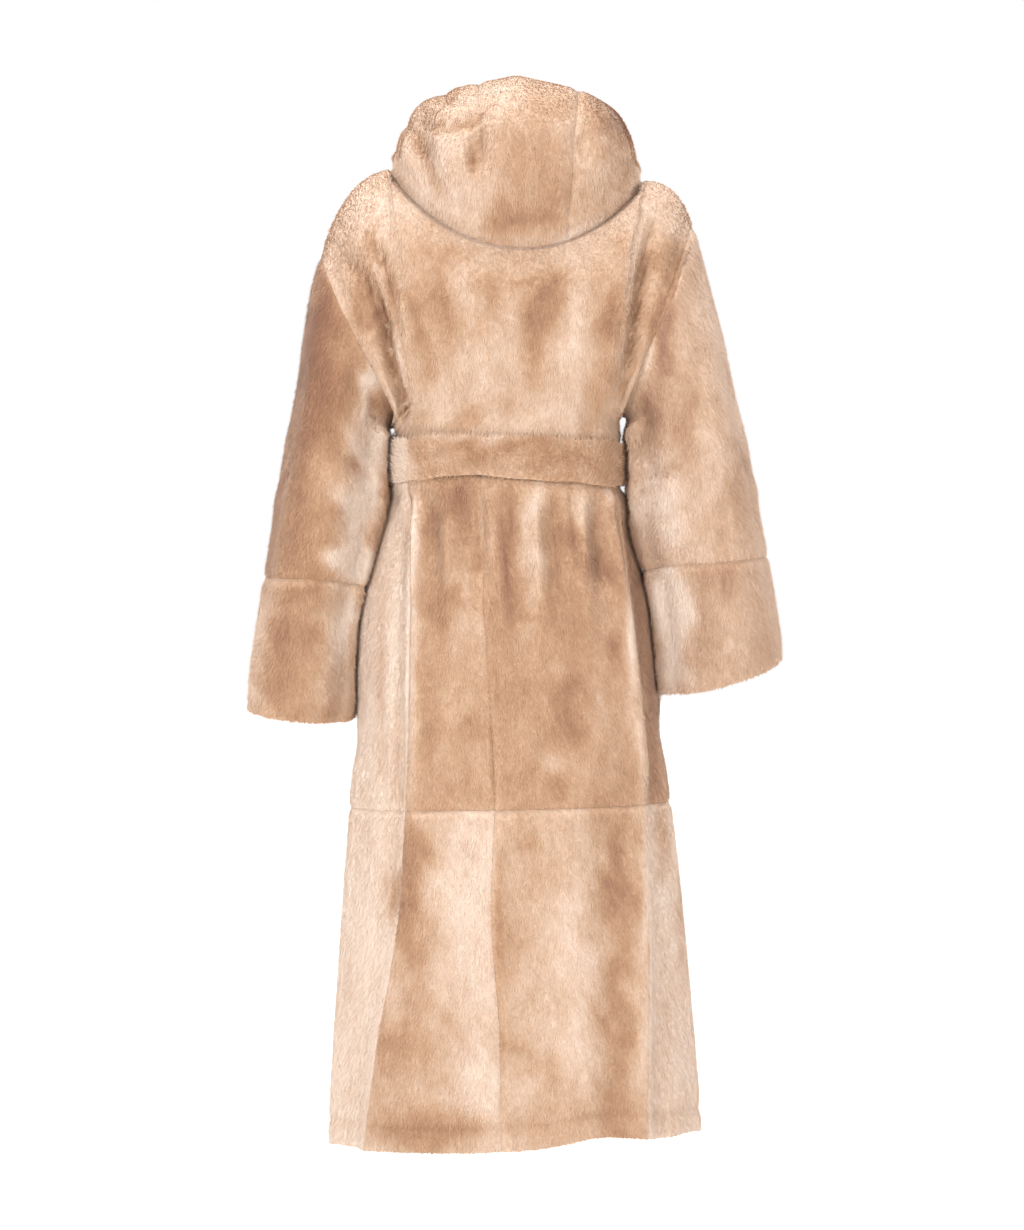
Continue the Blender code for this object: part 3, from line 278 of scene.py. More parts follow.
# ---- Finer creases, each along a line between two places: as the eye behind the coat sees them for
# the back and the hood's outline, by x and z in front, and by y and z on the left and right
CREASE_COLUMNS = ("at_start", "z_start", "at_end", "z_end", "width", "height")
SIDE_GATHERS = (
    (60, -430, 66, -520, 9, 4), (36, -430, 40, -540, 8, -4), (10, -430, 14, -520, 9, 4),
    (-20, -430, -24, -560, 8, -4), (-50, -430, -56, -520, 9, 4),
)
CREASES = {
    "hood": {
        "outline": ((100, 130, 84, 100, 8, -4), (160, 78, 132, 62, 8, -4), (116, 112, 128, 96, 11, 4)),
        "back": (
            (141, 66, 122, 22, 6, -10), (122, 22, 100, -20, 7, -8), (132, 80, 108, 66, 5, -6),
            (108, 66, 84, 62, 6, -8), (84, 62, 64, 70, 7, -6), (64, 70, 42, 83, 7, -6),
            (126, 92, 100, 80, 5, -4), (92, 84, 60, 92, 10, 4), (44, 62, 50, 36, 7, -7),
            (50, 36, 56, 8, 8, -8), (66, 48, 68, 10, 9, 4), (31, 122, 33, 84, 4, -2),
            (152, 50, 140, 10, 9, 4), (84, 30, 78, -20, 12, 2), (-97, 58, -102, 30, 6, -3),
            (-112, 40, -118, 0, 12, 3), (-84, -4, -84, -48, 7, -2), (-140, 50, -150, 10, 9, -3),
        ),
        "left": ((-60, 60, -84, 0, 10, -5), (-20, 80, -50, 20, 12, 4)),
        "right": ((-58, 64, -80, 6, 10, -5), (-10, 84, -40, 24, 12, 4)),
    },
    "bodice": {
        "back": (
            (197, -76, 181, -100, 6, -4), (181, -100, 168, -130, 7, -10), (168, -130, 160, -168, 7, -10),
            (160, -168, 151, -210, 7, -6), (151, -210, 143, -260, 6, -3), (143, -260, 140, -310, 6, -2),
            (224, -114, 200, -135, 7, -5), (200, -135, 184, -162, 7, -9), (184, -162, 174, -196, 6, -14),
            (174, -196, 169, -236, 6, -14), (169, -236, 156, -280, 6, -14),
            (156, -280, 147, -316, 6, -12), (182, -120, 172, -176, 7, 4), (160, -220, 150, -280, 7, 4),
            (-190, -58, -183, -100, 6, -5), (-183, -100, -173, -150, 6, -13),
            (-173, -150, -166, -205, 6, -13), (-166, -205, -161, -260, 6, -11),
            (-161, -260, -152, -322, 6, -6), (-168, -120, -152, -220, 8, 3), (96, -250, 108, -322, 11, 3),
            (60, -290, 62, -330, 10, -3), (10, -262, 2, -326, 12, -3), (-30, -280, -34, -330, 10, 3),
            (-70, -240, -66, -322, 12, 3), (-104, -280, -102, -330, 10, -3), (64, -110, 40, -150, 18, 2),
        ),
        "front": (
            (170, -150, 150, -250, 8, -6), (-166, -140, -146, -250, 8, -6), (120, -230, 110, -325, 11, 3),
            (74, -260, 70, -325, 10, -3), (-124, -220, -112, -325, 11, 3), (-60, -270, -56, -325, 10, -3),
            (30, -250, 34, -325, 12, -3),
        ),
    },
    "sleeve_left": {
        "back": (
            (182, -298, 176, -332, 6, -6), (176, -332, 170, -356, 6, -6), (178, -352, 194, -420, 8, -4),
            (172, -392, 214, -380, 9, -4), (184, -428, 240, -404, 12, 3), (196, -452, 236, -446, 9, -3),
            (262, -210, 276, -330, 12, 3), (236, -180, 226, -300, 14, 3), (240, -600, 252, -700, 14, 3),
            (300, -560, 316, -690, 14, -3),
        ),
        "front": (
            (178, -392, 236, -372, 9, -4), (186, -430, 250, -410, 12, 3), (196, -462, 240, -450, 9, -3),
            (286, -560, 300, -690, 14, -3),
        ),
        "left": ((10, -420, 60, -380, 12, -3), (-50, -400, -10, -440, 12, 3)),
    },
    "sleeve_right": {
        "back": (
            (-164, -296, -176, -330, 7, -5), (-168, -352, -184, -392, 8, -4),
            (-164, -404, -214, -386, 9, -4), (-170, -432, -228, -412, 12, 3),
            (-182, -462, -230, -448, 9, -3), (-214, -120, -232, -260, 12, 3),
            (-196, -200, -190, -280, 10, -3), (-276, -440, -284, -560, 9, -4),
            (-272, -560, -286, -660, 14, 3),
        ),
        "front": (
            (-170, -396, -232, -376, 9, -4), (-176, -432, -240, -414, 12, 3),
            (-190, -466, -236, -452, 9, -3), (-290, -540, -306, -640, 14, -3),
        ),
        "right": ((10, -400, 58, -360, 12, -3), (-48, -390, -8, -424, 12, 3)),
    },
    "skirt": {
        "back": (
            (140, -424, 140, -530, 5, -4), (130, -428, 132, -560, 7, 4), (112, -428, 108, -500, 7, -4),
            (90, -428, 86, -560, 8, 3), (70, -426, 62, -480, 9, -5), (46, -428, 46, -520, 7, -3),
            (31, -428, 30, -510, 8, 6), (8, -428, 4, -600, 8, -5), (-12, -430, -18, -560, 7, 3),
            (-32, -430, -32, -560, 9, 5), (-54, -430, -60, -540, 7, -4), (-66, -426, -72, -460, 6, 3),
            (-76, -430, -86, -520, 6, -4), (-92, -430, -102, -500, 8, 4), (-112, -430, -124, -540, 8, -4),
            (-130, -430, -142, -520, 8, 4), (157, -930, 166, -986, 5, -8), (177, -540, 178, -800, 8, -4),
            (160, -520, 166, -800, 7, 3), (152, -560, 156, -850, 5, -4), (120, -640, 126, -790, 16, 2),
            (24, -640, 22, -830, 5, -2), (-100, -700, -118, -820, 18, 2), (-44, -760, -60, -830, 12, -2),
        ),
        "front": (
            (96, -430, 100, -540, 9, 5), (76, -430, 78, -500, 8, -4), (60, -430, 62, -520, 9, 4),
            (-90, -430, -94, -560, 9, 5), (-106, -430, -110, -520, 8, -4), (-122, -430, -128, -520, 9, 4),
        ),
        "left": SIDE_GATHERS,
        "right": SIDE_GATHERS,
    },
}
CREASE_CALM = 9.0
# Painted shade: how much darker the fur is painted for each millimetre that a crease sinks in.
CREASE_SHADE = 0.075
CREASE_END_DEPTH = 0.65

# ---- Seams and edges
SEAM_GROOVE = 2.6
SEAM_GROOVE_WIDTH = 4.5
SEAM_FUR_SHARE = 0.45
NECK_ROLL = 3.0
NECK_ROLL_AT = 16.0
NECK_ROLL_WIDTH = 9.0
HEM_FOLD_AT = 30.0
HEM_FOLD_WIDTH = 7.0
HEM_FOLD_DEPTH = 2.4
# Painted shade: how much darker the fur is painted along the hem's fold line.
HEM_FOLD_SHADE = 0.18

# ---- Belt
BELT_HALF_HEIGHT = 29.0
BELT_THICKNESS = 11.0
BELT_CLEARANCE = 0.8
BELT_Z = -379.0
BELT_TILT = 0.05
BELT_LAP_ROOM = 0.4
BELT_TRIM = 1.4
BELT_DROOP = 9.0
BELT_DROOP_FROM = 70.0
BELT_DROOP_RUN = 80.0
BELT_SAG = 3.0
# In degrees round the waist: where the belt is lifted over the lap, and over how many it rises and sinks.
BELT_LIFT_STARTS = (200.0, 330.0)
BELT_LIFT_RUNS = (36.0, 30.0)
BELT_CORE = 5.6
BELT_FUR_ROOM = 4.4
BELT_SECTION_STEPS = 28
BELT_EDGE_POWER = 0.8
# Each wave of the belt's edges: how many round the waist, where it starts and how high it is.
BELT_WAVES = ((3, 0.6, 0.05), (8, 0.0, 0.04), (17, 0.0, 0.02))
BELT_PUFF = 0.3
BELT_PUFF_WAVES = (5, 2)
BELT_BACK_ROOM = 0.6
BELT_FUR_FROM = 0.35
BELT_FUR_RISE = 1.6
BELT_FUR_RANGE = (0.12, 0.95)
BELT_COMB = 0.5
KNOT_WIDTH = 62.0
KNOT_DEPTH = 34.0
KNOT_HEIGHT = 74.0
KNOT_X = -4.0
KNOT_SQUARENESS = 2.6
KNOT_CUTS = 23
KNOT_SLANT = (0.8, 0.6)
KNOT_GROOVES_AT = 0.42
KNOT_GROOVE_WIDTH = 0.13
KNOT_GROOVE_DEPTH = 0.16
KNOT_FUR = 0.62
KNOT_LEAST_FUR = 0.02
KNOT_FUR_REACH = 4.0
KNOT_COMB = (0.6, 0.0, -0.8)
END_WIDTH = 56.0
END_LENGTH = 400.0
END_ROWS = 60
END_STEPS = 10
END_TOP_WIDTH = 0.62
END_TOP_SHIFT = 8.0
END_TOP_RUN = 0.16
END_GAP = 1.0
END_THICKNESS = 2.6
END_FUR = 0.9
# Where each hanging end starts and ends across the front.
ENDS = {"belt_end_left": (25, 36), "belt_end_right": (-33, -58)}

# ---- How light the fur lies: 1 is cream, 0 tan and -1 dark caramel. Every piece has its own tone and
# how greyish it is, and each patch has its middle as seen from behind, its half width and half
# height, and how much lighter or darker it is. Most of this follows how the fur lies; the places
# marked below are painted shadow in creases and shaded strips, and painted light on shaded places
# and on the belt's top edge.
TONES = {
    "hood": (0.5, 0.08),
    "bodice_back": (0.43, 0.04),
    "bodice_front": (0.55, 0.1),
    "sleeve_left_upper": (-0.3, 0.0),
    "sleeve_left_lower": (0.12, 0.05),
    "sleeve_right_upper": (0.36, 0.2),
    "sleeve_right_lower": (0.2, 0.22),
    "belt": (0.12, 0.0),
    "skirt_back_left_upper": (0.12, 0.05),
    "skirt_back_right_upper": (0.02, 0.05),
    "skirt_back_left_lower": (0.54, 0.05),
    "skirt_back_right_lower": (0.38, 0.05),
    "skirt_side_left": (0.9, 0.04),
    # Painted shadow: the right side panel's upper tier gets a dark tone for the shadow between the back
    # panel and the sleeve.
    "skirt_side_right_upper": (-0.1, 0.1),
    "skirt_side_right_lower": (0.8, 0.15),
    "skirt_front": (0.42, 0.1),
}
PATCH_COLUMNS = ("x", "z", "half_width", "half_height", "lighter")
PATCHES = {
    "hood": (
        # (56, 74) and (52, 30) are painted shade along the hood's smile crease and its V crease.
        (100, -10, 45, 70, 0.3), (72, 45, 26, 30, 0.12), (112, 96, 20, 16, -0.15), (56, 74, 24, 8, -0.4),
        (52, 30, 9, 26, -0.4), (5, 30, 26, 34, -0.5), (-5, -12, 32, 30, -0.45), (-12, -60, 44, 24, -0.8),
        (-56, -22, 26, 44, -0.4), (-45, 32, 30, 34, -0.3), (-40, 90, 34, 32, -0.42),
        (-72, 100, 24, 20, -0.35), (-84, -24, 6, 22, 0.35), (-66, 64, 14, 9, 0.22),
        (-136, 82, 28, 26, -1.0), (-150, 54, 14, 16, -0.6), (-118, 30, 14, 14, -0.45),
        (-156, 20, 16, 26, -0.3), (-110, -38, 30, 13, -0.35), (-145, -10, 20, 16, -0.2),
        (-80, -86, 34, 8, 0.5), (-112, -64, 24, 10, 0.25), (44, -84, 20, 6, 0.2),
    ),
    "bodice_back": (
        (200, -30, 50, 40, 0.14), (150, -50, 40, 30, 0.16), (-200, -30, 50, 50, 0.2),
        (-150, -60, 30, 30, 0.1), (-206, -150, 18, 46, -0.8), (-190, -214, 13, 44, -0.75),
        (-214, -104, 14, 14, -0.4), (198, -160, 14, 36, -0.75), (190, -198, 20, 14, -0.6),
        (216, -126, 8, 14, -0.3), (188, -88, 8, 20, -0.35), (126, -176, 20, 34, -0.75),
        (118, -225, 16, 30, -0.65), (95, -150, 16, 34, -0.6), (85, -205, 14, 46, -0.35),
        (112, -265, 14, 14, -0.35), (112, -320, 10, 10, -0.25), (100, -108, 42, 10, -0.28),
        (30, -160, 12, 26, -0.4), (44, -146, 12, 14, -0.25), (-18, -134, 20, 8, -0.65),
        (-50, -150, 20, 18, -0.85), (-70, -141, 13, 11, -0.5), (-40, -186, 16, 28, -0.75),
        (-25, -222, 14, 28, -0.55), (-28, -262, 12, 24, -0.42), (-138, -180, 14, 34, -0.75),
        (-125, -212, 13, 28, -0.5), (-110, -170, 10, 40, -0.28), (-120, -265, 14, 24, -0.42),
        (-115, -302, 12, 16, -0.45), (-145, -90, 12, 16, -0.3), (-84, -240, 13, 66, 0.3),
        (-60, -318, 22, 28, 0.32), (50, -250, 24, 40, 0.15), (0, -210, 14, 38, 0.12),
        (150, -252, 8, 80, 0.25), (-158, -250, 6, 60, 0.2), (60, -326, 24, 13, -0.3),
        (20, -310, 40, 15, -0.15), (-100, -345, 14, 20, -0.35),
    ),
    "bodice_front": (
        (-110, -180, 26, 50, -0.6), (-96, -250, 20, 40, -0.35), (100, -220, 24, 50, -0.55),
        (130, -150, 16, 30, -0.3), (40, -250, 14, 50, -0.3), (24, -140, 26, 40, 0.25),
        (-50, -210, 18, 60, 0.3), (190, -60, 50, 50, 0.3), (-190, -50, 50, 50, 0.3),
        (-20, -290, 24, 30, -0.25),
    ),
    "skirt_front": (
        (-60, -560, 24, 90, 0.35), (110, -620, 30, 80, -0.5), (-120, -700, 24, 80, -0.5),
        (30, -700, 18, 90, -0.35), (20, -790, 36, 40, 0.2), (60, -500, 10, 60, 0.4),
        (-100, -480, 10, 50, 0.4), (-80, -1000, 30, 110, 0.35), (60, -1020, 30, 130, 0.3),
        (140, -1120, 30, 110, -0.5), (-150, -1160, 30, 100, -0.45), (-10, -1130, 16, 120, -0.35),
        (100, -880, 14, 60, -0.5),
    ),
    "sleeve_left_upper": (
        (262, -240, 20, 100, -0.55), (248, -195, 26, 70, -0.3), (286, -360, 16, 80, -0.25),
        # The cream inner patches from (186, -262) to (240, -506) are the fur's own cream, made lighter and
        # wider still as painted light against the shade between the sleeve and the coat.
        (308, -450, 12, 60, -0.15), (186, -262, 17, 40, 1.3), (192, -360, 27, 70, 1.4),
        (204, -450, 30, 56, 1.4), (214, -520, 26, 36, 1.2), (240, -506, 30, 15, 0.6),
        (250, -405, 24, 44, 0.3), (236, -445, 18, 28, 0.25), (292, -240, 8, 20, 0.25),
        (264, -470, 16, 24, 0.2), (212, -232, 14, 26, 0.25),
    ),
    "sleeve_left_lower": (
        (300, -550, 26, 13, -0.5), (262, -560, 26, 13, -0.5), (298, -618, 22, 28, -0.4),
        (306, -672, 24, 30, -0.45), (270, -600, 16, 15, -0.25), (290, -712, 30, 12, -0.35),
        (340, -600, 14, 60, 0.42), (346, -680, 18, 30, 0.42), (250, -625, 20, 34, 0.35),
        # (228, -600) is the fur's own cream, made lighter still as painted light against the shade next to
        # the coat.
        (228, -600, 20, 60, 0.9), (240, -692, 20, 22, 0.2),
    ),
    "sleeve_right_upper": (
        (-192, -132, 18, 28, -0.75), (-205, -196, 15, 40, -0.9), (-206, -246, 13, 28, -0.7),
        (-180, -240, 12, 30, 0.4), (-185, -308, 14, 24, -0.75), (-186, -346, 20, 22, -0.3),
        (-220, -330, 20, 50, -0.25), (-237, -290, 14, 60, -0.2), (-240, -356, 12, 50, -0.2),
        (-196, -430, 28, 56, 0.6), (-222, -474, 20, 26, 0.15), (-270, -200, 20, 90, 0.22),
        (-300, -300, 14, 60, 0.15), (-306, -415, 16, 46, -0.32), (-262, -450, 9, 40, -0.12),
    ),
    "sleeve_right_lower": (
        (-250, -535, 22, 38, -0.45), (-300, -496, 15, 22, -0.5), (-285, -535, 11, 30, -0.3),
        # (-214, -590) is the fur's own cream, made lighter still as painted light against the shade next to
        # the coat.
        (-245, -600, 20, 30, -0.2), (-214, -590, 28, 90, 1.25), (-240, -662, 20, 15, 0.3),
        (-290, -630, 10, 8, 0.4), (-330, -585, 24, 50, 0.1),
    ),
    "belt": (
        # (160, -378) is painted light on the belt's left end, which lies in the shade between sleeve and
        # skirt; (40, -347) is a painted highlight along the belt's top edge.
        (160, -378, 26, 46, 1.7), (40, -347, 120, 6, 0.45), (60, -364, 34, 6, -0.3),
        (-10, -366, 30, 6, -0.4), (-122, -386, 30, 22, -0.2), (-80, -380, 34, 14, -0.2),
        (70, -392, 70, 8, 0.2), (-60, -402, 50, 6, 0.2), (104, -366, 16, 12, 0.2),
    ),
    "skirt_back_left_upper": (
        (131, -470, 8, 56, 0.8), (134, -650, 8, 170, 0.6), (70, -430, 26, 28, -0.6),
        (100, -442, 18, 46, -0.3), (96, -572, 24, 28, -0.45), (112, -700, 12, 110, -0.25),
        (47, -505, 12, 36, -0.35), (31, -450, 10, 46, 0.8), (78, -540, 22, 15, 0.3),
        (55, -604, 20, 38, 0.32), (112, -640, 12, 30, 0.12), (45, -742, 32, 12, -0.3),
        (60, -822, 50, 18, -0.15), (60, -690, 24, 24, 0.1), (23, -780, 6, 60, -0.4),
    ),
    "skirt_back_right_upper": (
        (-30, -430, 18, 36, 0.75), (-28, -505, 15, 46, 0.7), (-28, -572, 12, 22, 0.45),
        (-62, -420, 10, 18, 0.3), (-90, -446, 13, 28, 0.65), (-130, -424, 18, 20, 0.55),
        (6, -505, 12, 100, -0.45), (-70, -480, 15, 22, -0.5), (-110, -512, 22, 20, -0.45),
        (-130, -535, 12, 24, -0.45), (-18, -578, 26, 9, -0.35), (-76, -700, 22, 38, -0.5),
        (-85, -742, 15, 22, -0.4), (-136, -630, 11, 17, -0.65), (-60, -560, 28, 38, -0.25),
        (-60, -822, 15, 13, -0.4), (-160, -800, 12, 50, -0.2), (-54, -785, 13, 22, 0.5),
        (-18, -602, 12, 13, 0.28), (-62, -656, 11, 11, 0.25), (-115, -722, 11, 56, 0.25),
        (-130, -800, 24, 28, 0.15), (-90, -780, 28, 22, 0.15), (-160, -600, 7, 130, 0.85),
        (-172, -760, 7, 80, 0.6),
    ),
    "skirt_side_right_upper": (
        # Both are painted shadow in the strip between the back panel's edge and the sleeve.
        (-168, -540, 9, 130, -0.5), (-186, -700, 9, 130, -0.4),
    ),
    "skirt_side_right_lower": (
        # (-200, -880) is a painted shadow strip beside the back panel's edge; (-226, -980) is darker along
        # the panel's outer edge.
        (-200, -880, 8, 60, -0.5), (-226, -980, 6, 80, -0.4),
    ),
    "skirt_side_left": (
        # All three are painted shadow: a shaded fold down the panel, the shaded band beside the back
        # panel's raised edge, and the deep shadow pocket beside it lower down.
        (176, -690, 6, 140, -0.2), (154, -760, 5, 100, -0.3), (160, -960, 6, 26, -0.5),
    ),
    "skirt_back_left_lower": (
        (142, -895, 28, 76, -0.8), (138, -980, 22, 60, -0.6), (134, -1050, 24, 44, -0.4),
        (68, -930, 34, 84, 0.3), (60, -1060, 34, 84, 0.25), (40, -1200, 20, 56, 0.2),
        (130, -1130, 34, 38, -0.5), (160, -1182, 38, 56, -0.45), (140, -1272, 60, 26, -0.5),
        (80, -1270, 46, 26, -0.4), (100, -1182, 32, 46, -0.3), (176, -1110, 9, 56, -0.35),
        (168, -1156, 9, 11, -0.4), (165, -1256, 18, 15, -0.3), (158, -1012, 8, 38, 0.2),
    ),
    "skirt_back_right_lower": (
        (19, -1050, 6, 190, -0.5), (-20, -880, 24, 24, -0.35), (5, -1012, 15, 46, -0.3),
        (-45, -942, 13, 24, -0.22), (0, -1160, 19, 11, -0.42), (-56, -1192, 13, 28, -0.3),
        (-20, -1192, 18, 18, -0.25), (-60, -1250, 60, 13, -0.15), (-80, -1000, 20, 76, 0.25),
        (-90, -1130, 17, 76, 0.25), (-95, -900, 13, 46, 0.12), (-110, -1042, 13, 18, 0.2),
        (-142, -920, 20, 90, -0.68), (-144, -1082, 22, 90, -0.5), (-140, -1202, 22, 80, -0.5),
        (-150, -1282, 28, 13, -0.4), (-168, -900, 7, 76, -0.2), (-180, -950, 8, 110, 0.42),
        (-178, -1150, 11, 76, 0.25), (-188, -1042, 7, 9, -0.4),
    ),
}
PATCH_SHARPNESS = 1.15
NAP_RANGE = (-1.0, 1.2)
FAR_SIDE_TONE = 0.35
FAR_SIDE_SEEN = 2.0
# The patches' edges wander in waves: how far, how fast across and down, and where they start.
WANDER = ((7.0, 0.055, 0.041, 0.4), (5.0, -0.083, 0.067, 2.1), (3.0, 0.17, -0.13, 4.0))
WANDER_WIDTH = 18.0
WANDER_SLOWER = 0.8
FUR_COLOURS = (
    (0.0, (0.355, 0.175, 0.103)),
    (0.2, (0.43, 0.227, 0.132)),
    (0.45, (0.575, 0.343, 0.205)),
    (0.62, (0.68, 0.452, 0.30)),
    (0.8, (0.795, 0.59, 0.445)),
    (1.0, (0.905, 0.752, 0.63)),
)
GREY_FUR = (0.70, 0.56, 0.49)
MOTTLING = 0.62
GREY_SHARE = 0.6
HAIR_CONTRAST = 0.34
# Painted shadow within the pile: the blades are painted darker toward the root by these shares, and the
# hide under them, which has no tips, by its share all over.
ROOT_SHADES = {"hide": 0.92, "blades": 0.88}
STRETCH = (1.0, 1.0, 0.55)
NOISE_COLUMNS = ("scale", "detail", "roughness")
BROAD_NOISE = (14.0, 3.0, 0.55)
MIDDLE_NOISE = (60.0, 5.0, 0.72)
FINE_NOISE = (420.0, 2.0, 0.6)
NOISE_STRENGTHS = (1.4, 1.25, 0.35)
SUEDE_COLOURS = ((0.3, (0.40, 0.27, 0.18)), (0.7, (0.58, 0.43, 0.31)))
SUEDE_CLOUDS = (26.0, 6.0, 0.65)
SUEDE_GRAIN = (900.0, 2.0, 0.6)

# ---- Fur blades
BLADES_PER_SQUARE_METRE = 300000.0
BLADE_LENGTH = 7.0
BLADE_WIDTH = 1.5
BLADE_LEAN = 0.7
BLADE_STRAY = 0.24
BLADE_LENGTHS = (0.72, 1.12)
STRAY_SEED = 3
LENGTH_SEED = 5
BLADE_CLUMPING = 0.36
CLUMPS_PER_METRE = 80.0
BLADE_UV = 0.0012
CELL_EDGE = 0.01
RIM_FUR = 0.5
RIM_COMB = 0.3
TRIMMED = 0.42
TRIMMED_WIDTH = 8.0
WORN_SHORT = 0.74
PILE_SEED = 7
# The fur of each part of the coat, and how the names of its pieces start and end.
PILES = {
    "hood_pile": ("hood", ""),
    "bodice_pile": ("bodice", ""),
    "sleeve_left_pile": ("sleeve_left", ""),
    "sleeve_right_pile": ("sleeve_right", ""),
    "skirt_upper_pile": ("skirt", "upper"),
    "skirt_lower_pile": ("skirt", "lower"),
}

# ---- The sleeves lie against the coat's sides: there the leather is nearer the solid's surface, the
# fur lies a little less flat, and the sleeves are filled out, so that the fur of both meets. Each row
# has the heights at which this starts, is full, is last full and ends.
TOUCHING = {"skirt": (-400, -470, -690, -760), "sleeve": (-320, -346, -700, -760)}
TOUCHING_ROOM = 1.2
TOUCHING_COMB = 0.8
TOUCHING_SEEN = 2.0
TOUCHING_FROM = 0.6
MEETING_GAP = 1.6
MEETING_REACH = 20.0
MEETING_FADE = 12.0

# ---- The coat stands out a little above and below the belt, which draws it in: how far above the
# belt's middle, over what height and by how much, and where the fronts lap and it stays flat
DRAWN_IN = {"bodice": (38.0, 15.0, 6.5), "skirt": (-46.0, 19.0, 8.0)}
LAP_MIDDLE = -10.0
LAP_REACH = 116.0
LAP_FADE = 40.0

# ---- Studio
SKY_LIGHT = 0.92
SKY_SEEN = 1.0
FLOOR_GLOW = 0.62
FLOOR_HALF = 30.0
FLOOR_Z = -1.46
LAMPS_TOWARD = (0, 0, -0.55)
# The lamps: name, place and size in metres, and power.
LAMPS = (
    ("behind_left", (2.4, 3.4, 1.5), 1.2, 90),
    ("behind_right", (-2.8, 2.8, 0.1), 2.0, 34),
    ("front_left", (2.8, -2.8, 0.1), 2.0, 34),
    ("front_right", (-2.4, -3.4, 1.5), 1.2, 90),
    ("top", (0.2, 0.4, 3.0), 2.0, 55),
)


# ---- Curves through tables

def smooth(at, values, where):
    """A smooth curve through values that never passes them by between two rows."""
    at = np.asarray(at, float)
    values = np.asarray(values, float)
    where = np.asarray(where, float)
    if at[0] > at[-1]:
        at = at[::-1]
        values = values[::-1]
    step = np.diff(at)
    slope = np.diff(values) / step
    tangent = np.zeros(len(at))
    tangent[0] = slope[0]
    tangent[-1] = slope[-1]
    same_way = slope[:-1] * slope[1:] > 0
    mean = 2 * slope[:-1] * slope[1:] / np.where(same_way, slope[:-1] + slope[1:], 1)
    tangent[1:-1] = np.where(same_way, mean, 0)
    i = np.clip(np.searchsorted(at, where) - 1, 0, len(step) - 1)
    t = np.clip((where - at[i]) / step[i], 0, 1)
    start = values[i] * (1 + 2 * t) * (1 - t) ** 2 + step[i] * tangent[i] * t * (1 - t) ** 2
    end = values[i + 1] * t * t * (3 - 2 * t) + step[i] * tangent[i + 1] * t * t * (t - 1)
    return start + end


def column(table, columns, name):
    return np.array([row[columns.index(name)] for row in table], float)


def read(table, columns, key, name, where):
    return smooth(column(table, columns, key), column(table, columns, name), where)


def ease(t):
    t = np.clip(t, 0, 1)
    return t * t * (3 - 2 * t)


def signed_power(value, power):
    return np.sign(value) * np.abs(value) ** power


def unit(vectors):
    return vectors / np.maximum(np.linalg.norm(vectors, axis=-1, keepdims=True), 1e-9)


# ---- The level sections below the waist

def section(name, z):
    return read(SECTIONS, SECTION_COLUMNS, "z", name, z)


def ring_point(z, turn):
    """A point of the skirt at height z. turn runs from the left side over the back, in radians."""
    left = section("left", z)
    right = section("right", z)
    depth = np.where(np.sin(turn) > 0, section("back", z), -section("front", z))
    x = (left + right) / 2 + (left - right) / 2 * signed_power(np.cos(turn), 2 / SQUARENESS)
    y = depth * signed_power(np.sin(turn), 2 / SQUARENESS)
    return np.stack([x, y, z + 0 * x], -1)


def share_across(z, x):
    """Where x lies on the section at height z, from -1 on its right side to 1 on its left."""
    left = section("left", z)
    right = section("right", z)
    return (x - (left + right) / 2) / ((left - right) / 2)


def turn_at(z, x):
    """Where on the back half of the section the seam at x lies."""
    share = np.clip(share_across(z, x), -SEAM_REACH, SEAM_REACH)
    return np.arccos(signed_power(share, SQUARENESS / 2))


def seam_turns(z):
    """The turns of the three back seams and the two front ones."""
    seams = [turn_at(z, NEARER * section(name, z)) for name in ("left_seam", "centre_seam", "right_seam")]
    front = math.acos(FRONT_SEAM_SHARE ** (SQUARENESS / 2))
    return seams + [2 * math.pi - (math.pi - front) + 0 * z, 2 * math.pi - front + 0 * z]


def step_between(start, end, shares):
    return start[..., None] + (end - start)[..., None] * np.asarray(shares)


def skirt_turns(z):
    """The turn of every column of the skirt at height z, from the left side all the way round."""
    left, centre, right, front_right, front_left = seam_turns(z)
    coarse = len(SIDE_SPREAD) - 1
    close = np.interp(np.linspace(0, coarse, coarse * FINER + 1), np.arange(coarse + 1), SIDE_SPREAD)
    runs = [
        step_between(left, 0 * z, close)[..., ::-1],
        step_between(left, centre, np.linspace(0, 1, CENTRE_SEAM_STEP + 1)),
        step_between(centre, right, np.linspace(0, 1, BACK_STEPS - CENTRE_SEAM_STEP + 1)),
        step_between(right, math.pi + 0 * z, close),
        step_between(front_right, math.pi + 0 * z, close)[..., ::-1],
        step_between(front_right, front_left, np.linspace(0, 1, FRONT_STEPS + 1)),
        step_between(front_left, 2 * math.pi + 0 * z, close),
    ]
    return np.concatenate([runs[0]] + [run[..., 1:] for run in runs[1:]], -1)


def waist_edge(x, y):
    return WAIST_Z + 0 * x


def tier_edge(x, y):
    return TIER_Z + TIER_SLOPE * x


def hem_edge(x, y):
    """The height of the hem over a point on the floor."""
    lifted = HEM_LIFTED_RISE * np.exp(-(((x - HEM_LIFTED_X) / HEM_LIFTED_WIDTH) ** 2))
    return HEM_Z + HEM_SLOPE * x + (HEM_BACK_RISE + lifted) * ease(y / HEM_BACK_REACH)


def skirt_grid(top_edge, bottom_edge, share):
    """Rows of the skirt between two edges, each a height for every x and y."""
    start = top_edge(0.0, 0.0)
    level = start + (bottom_edge(0.0, 0.0) - start) * share
    turns = skirt_turns(level)
    place = ring_point(level[:, None] + 0 * turns, turns)
    top = top_edge(place[..., 0], place[..., 1])
    bottom = bottom_edge(place[..., 0], place[..., 1])
    return ring_point(top + (bottom - top) * share[:, None], turns)


# ---- The bodice: neck seam, shoulders, armholes and the walls between

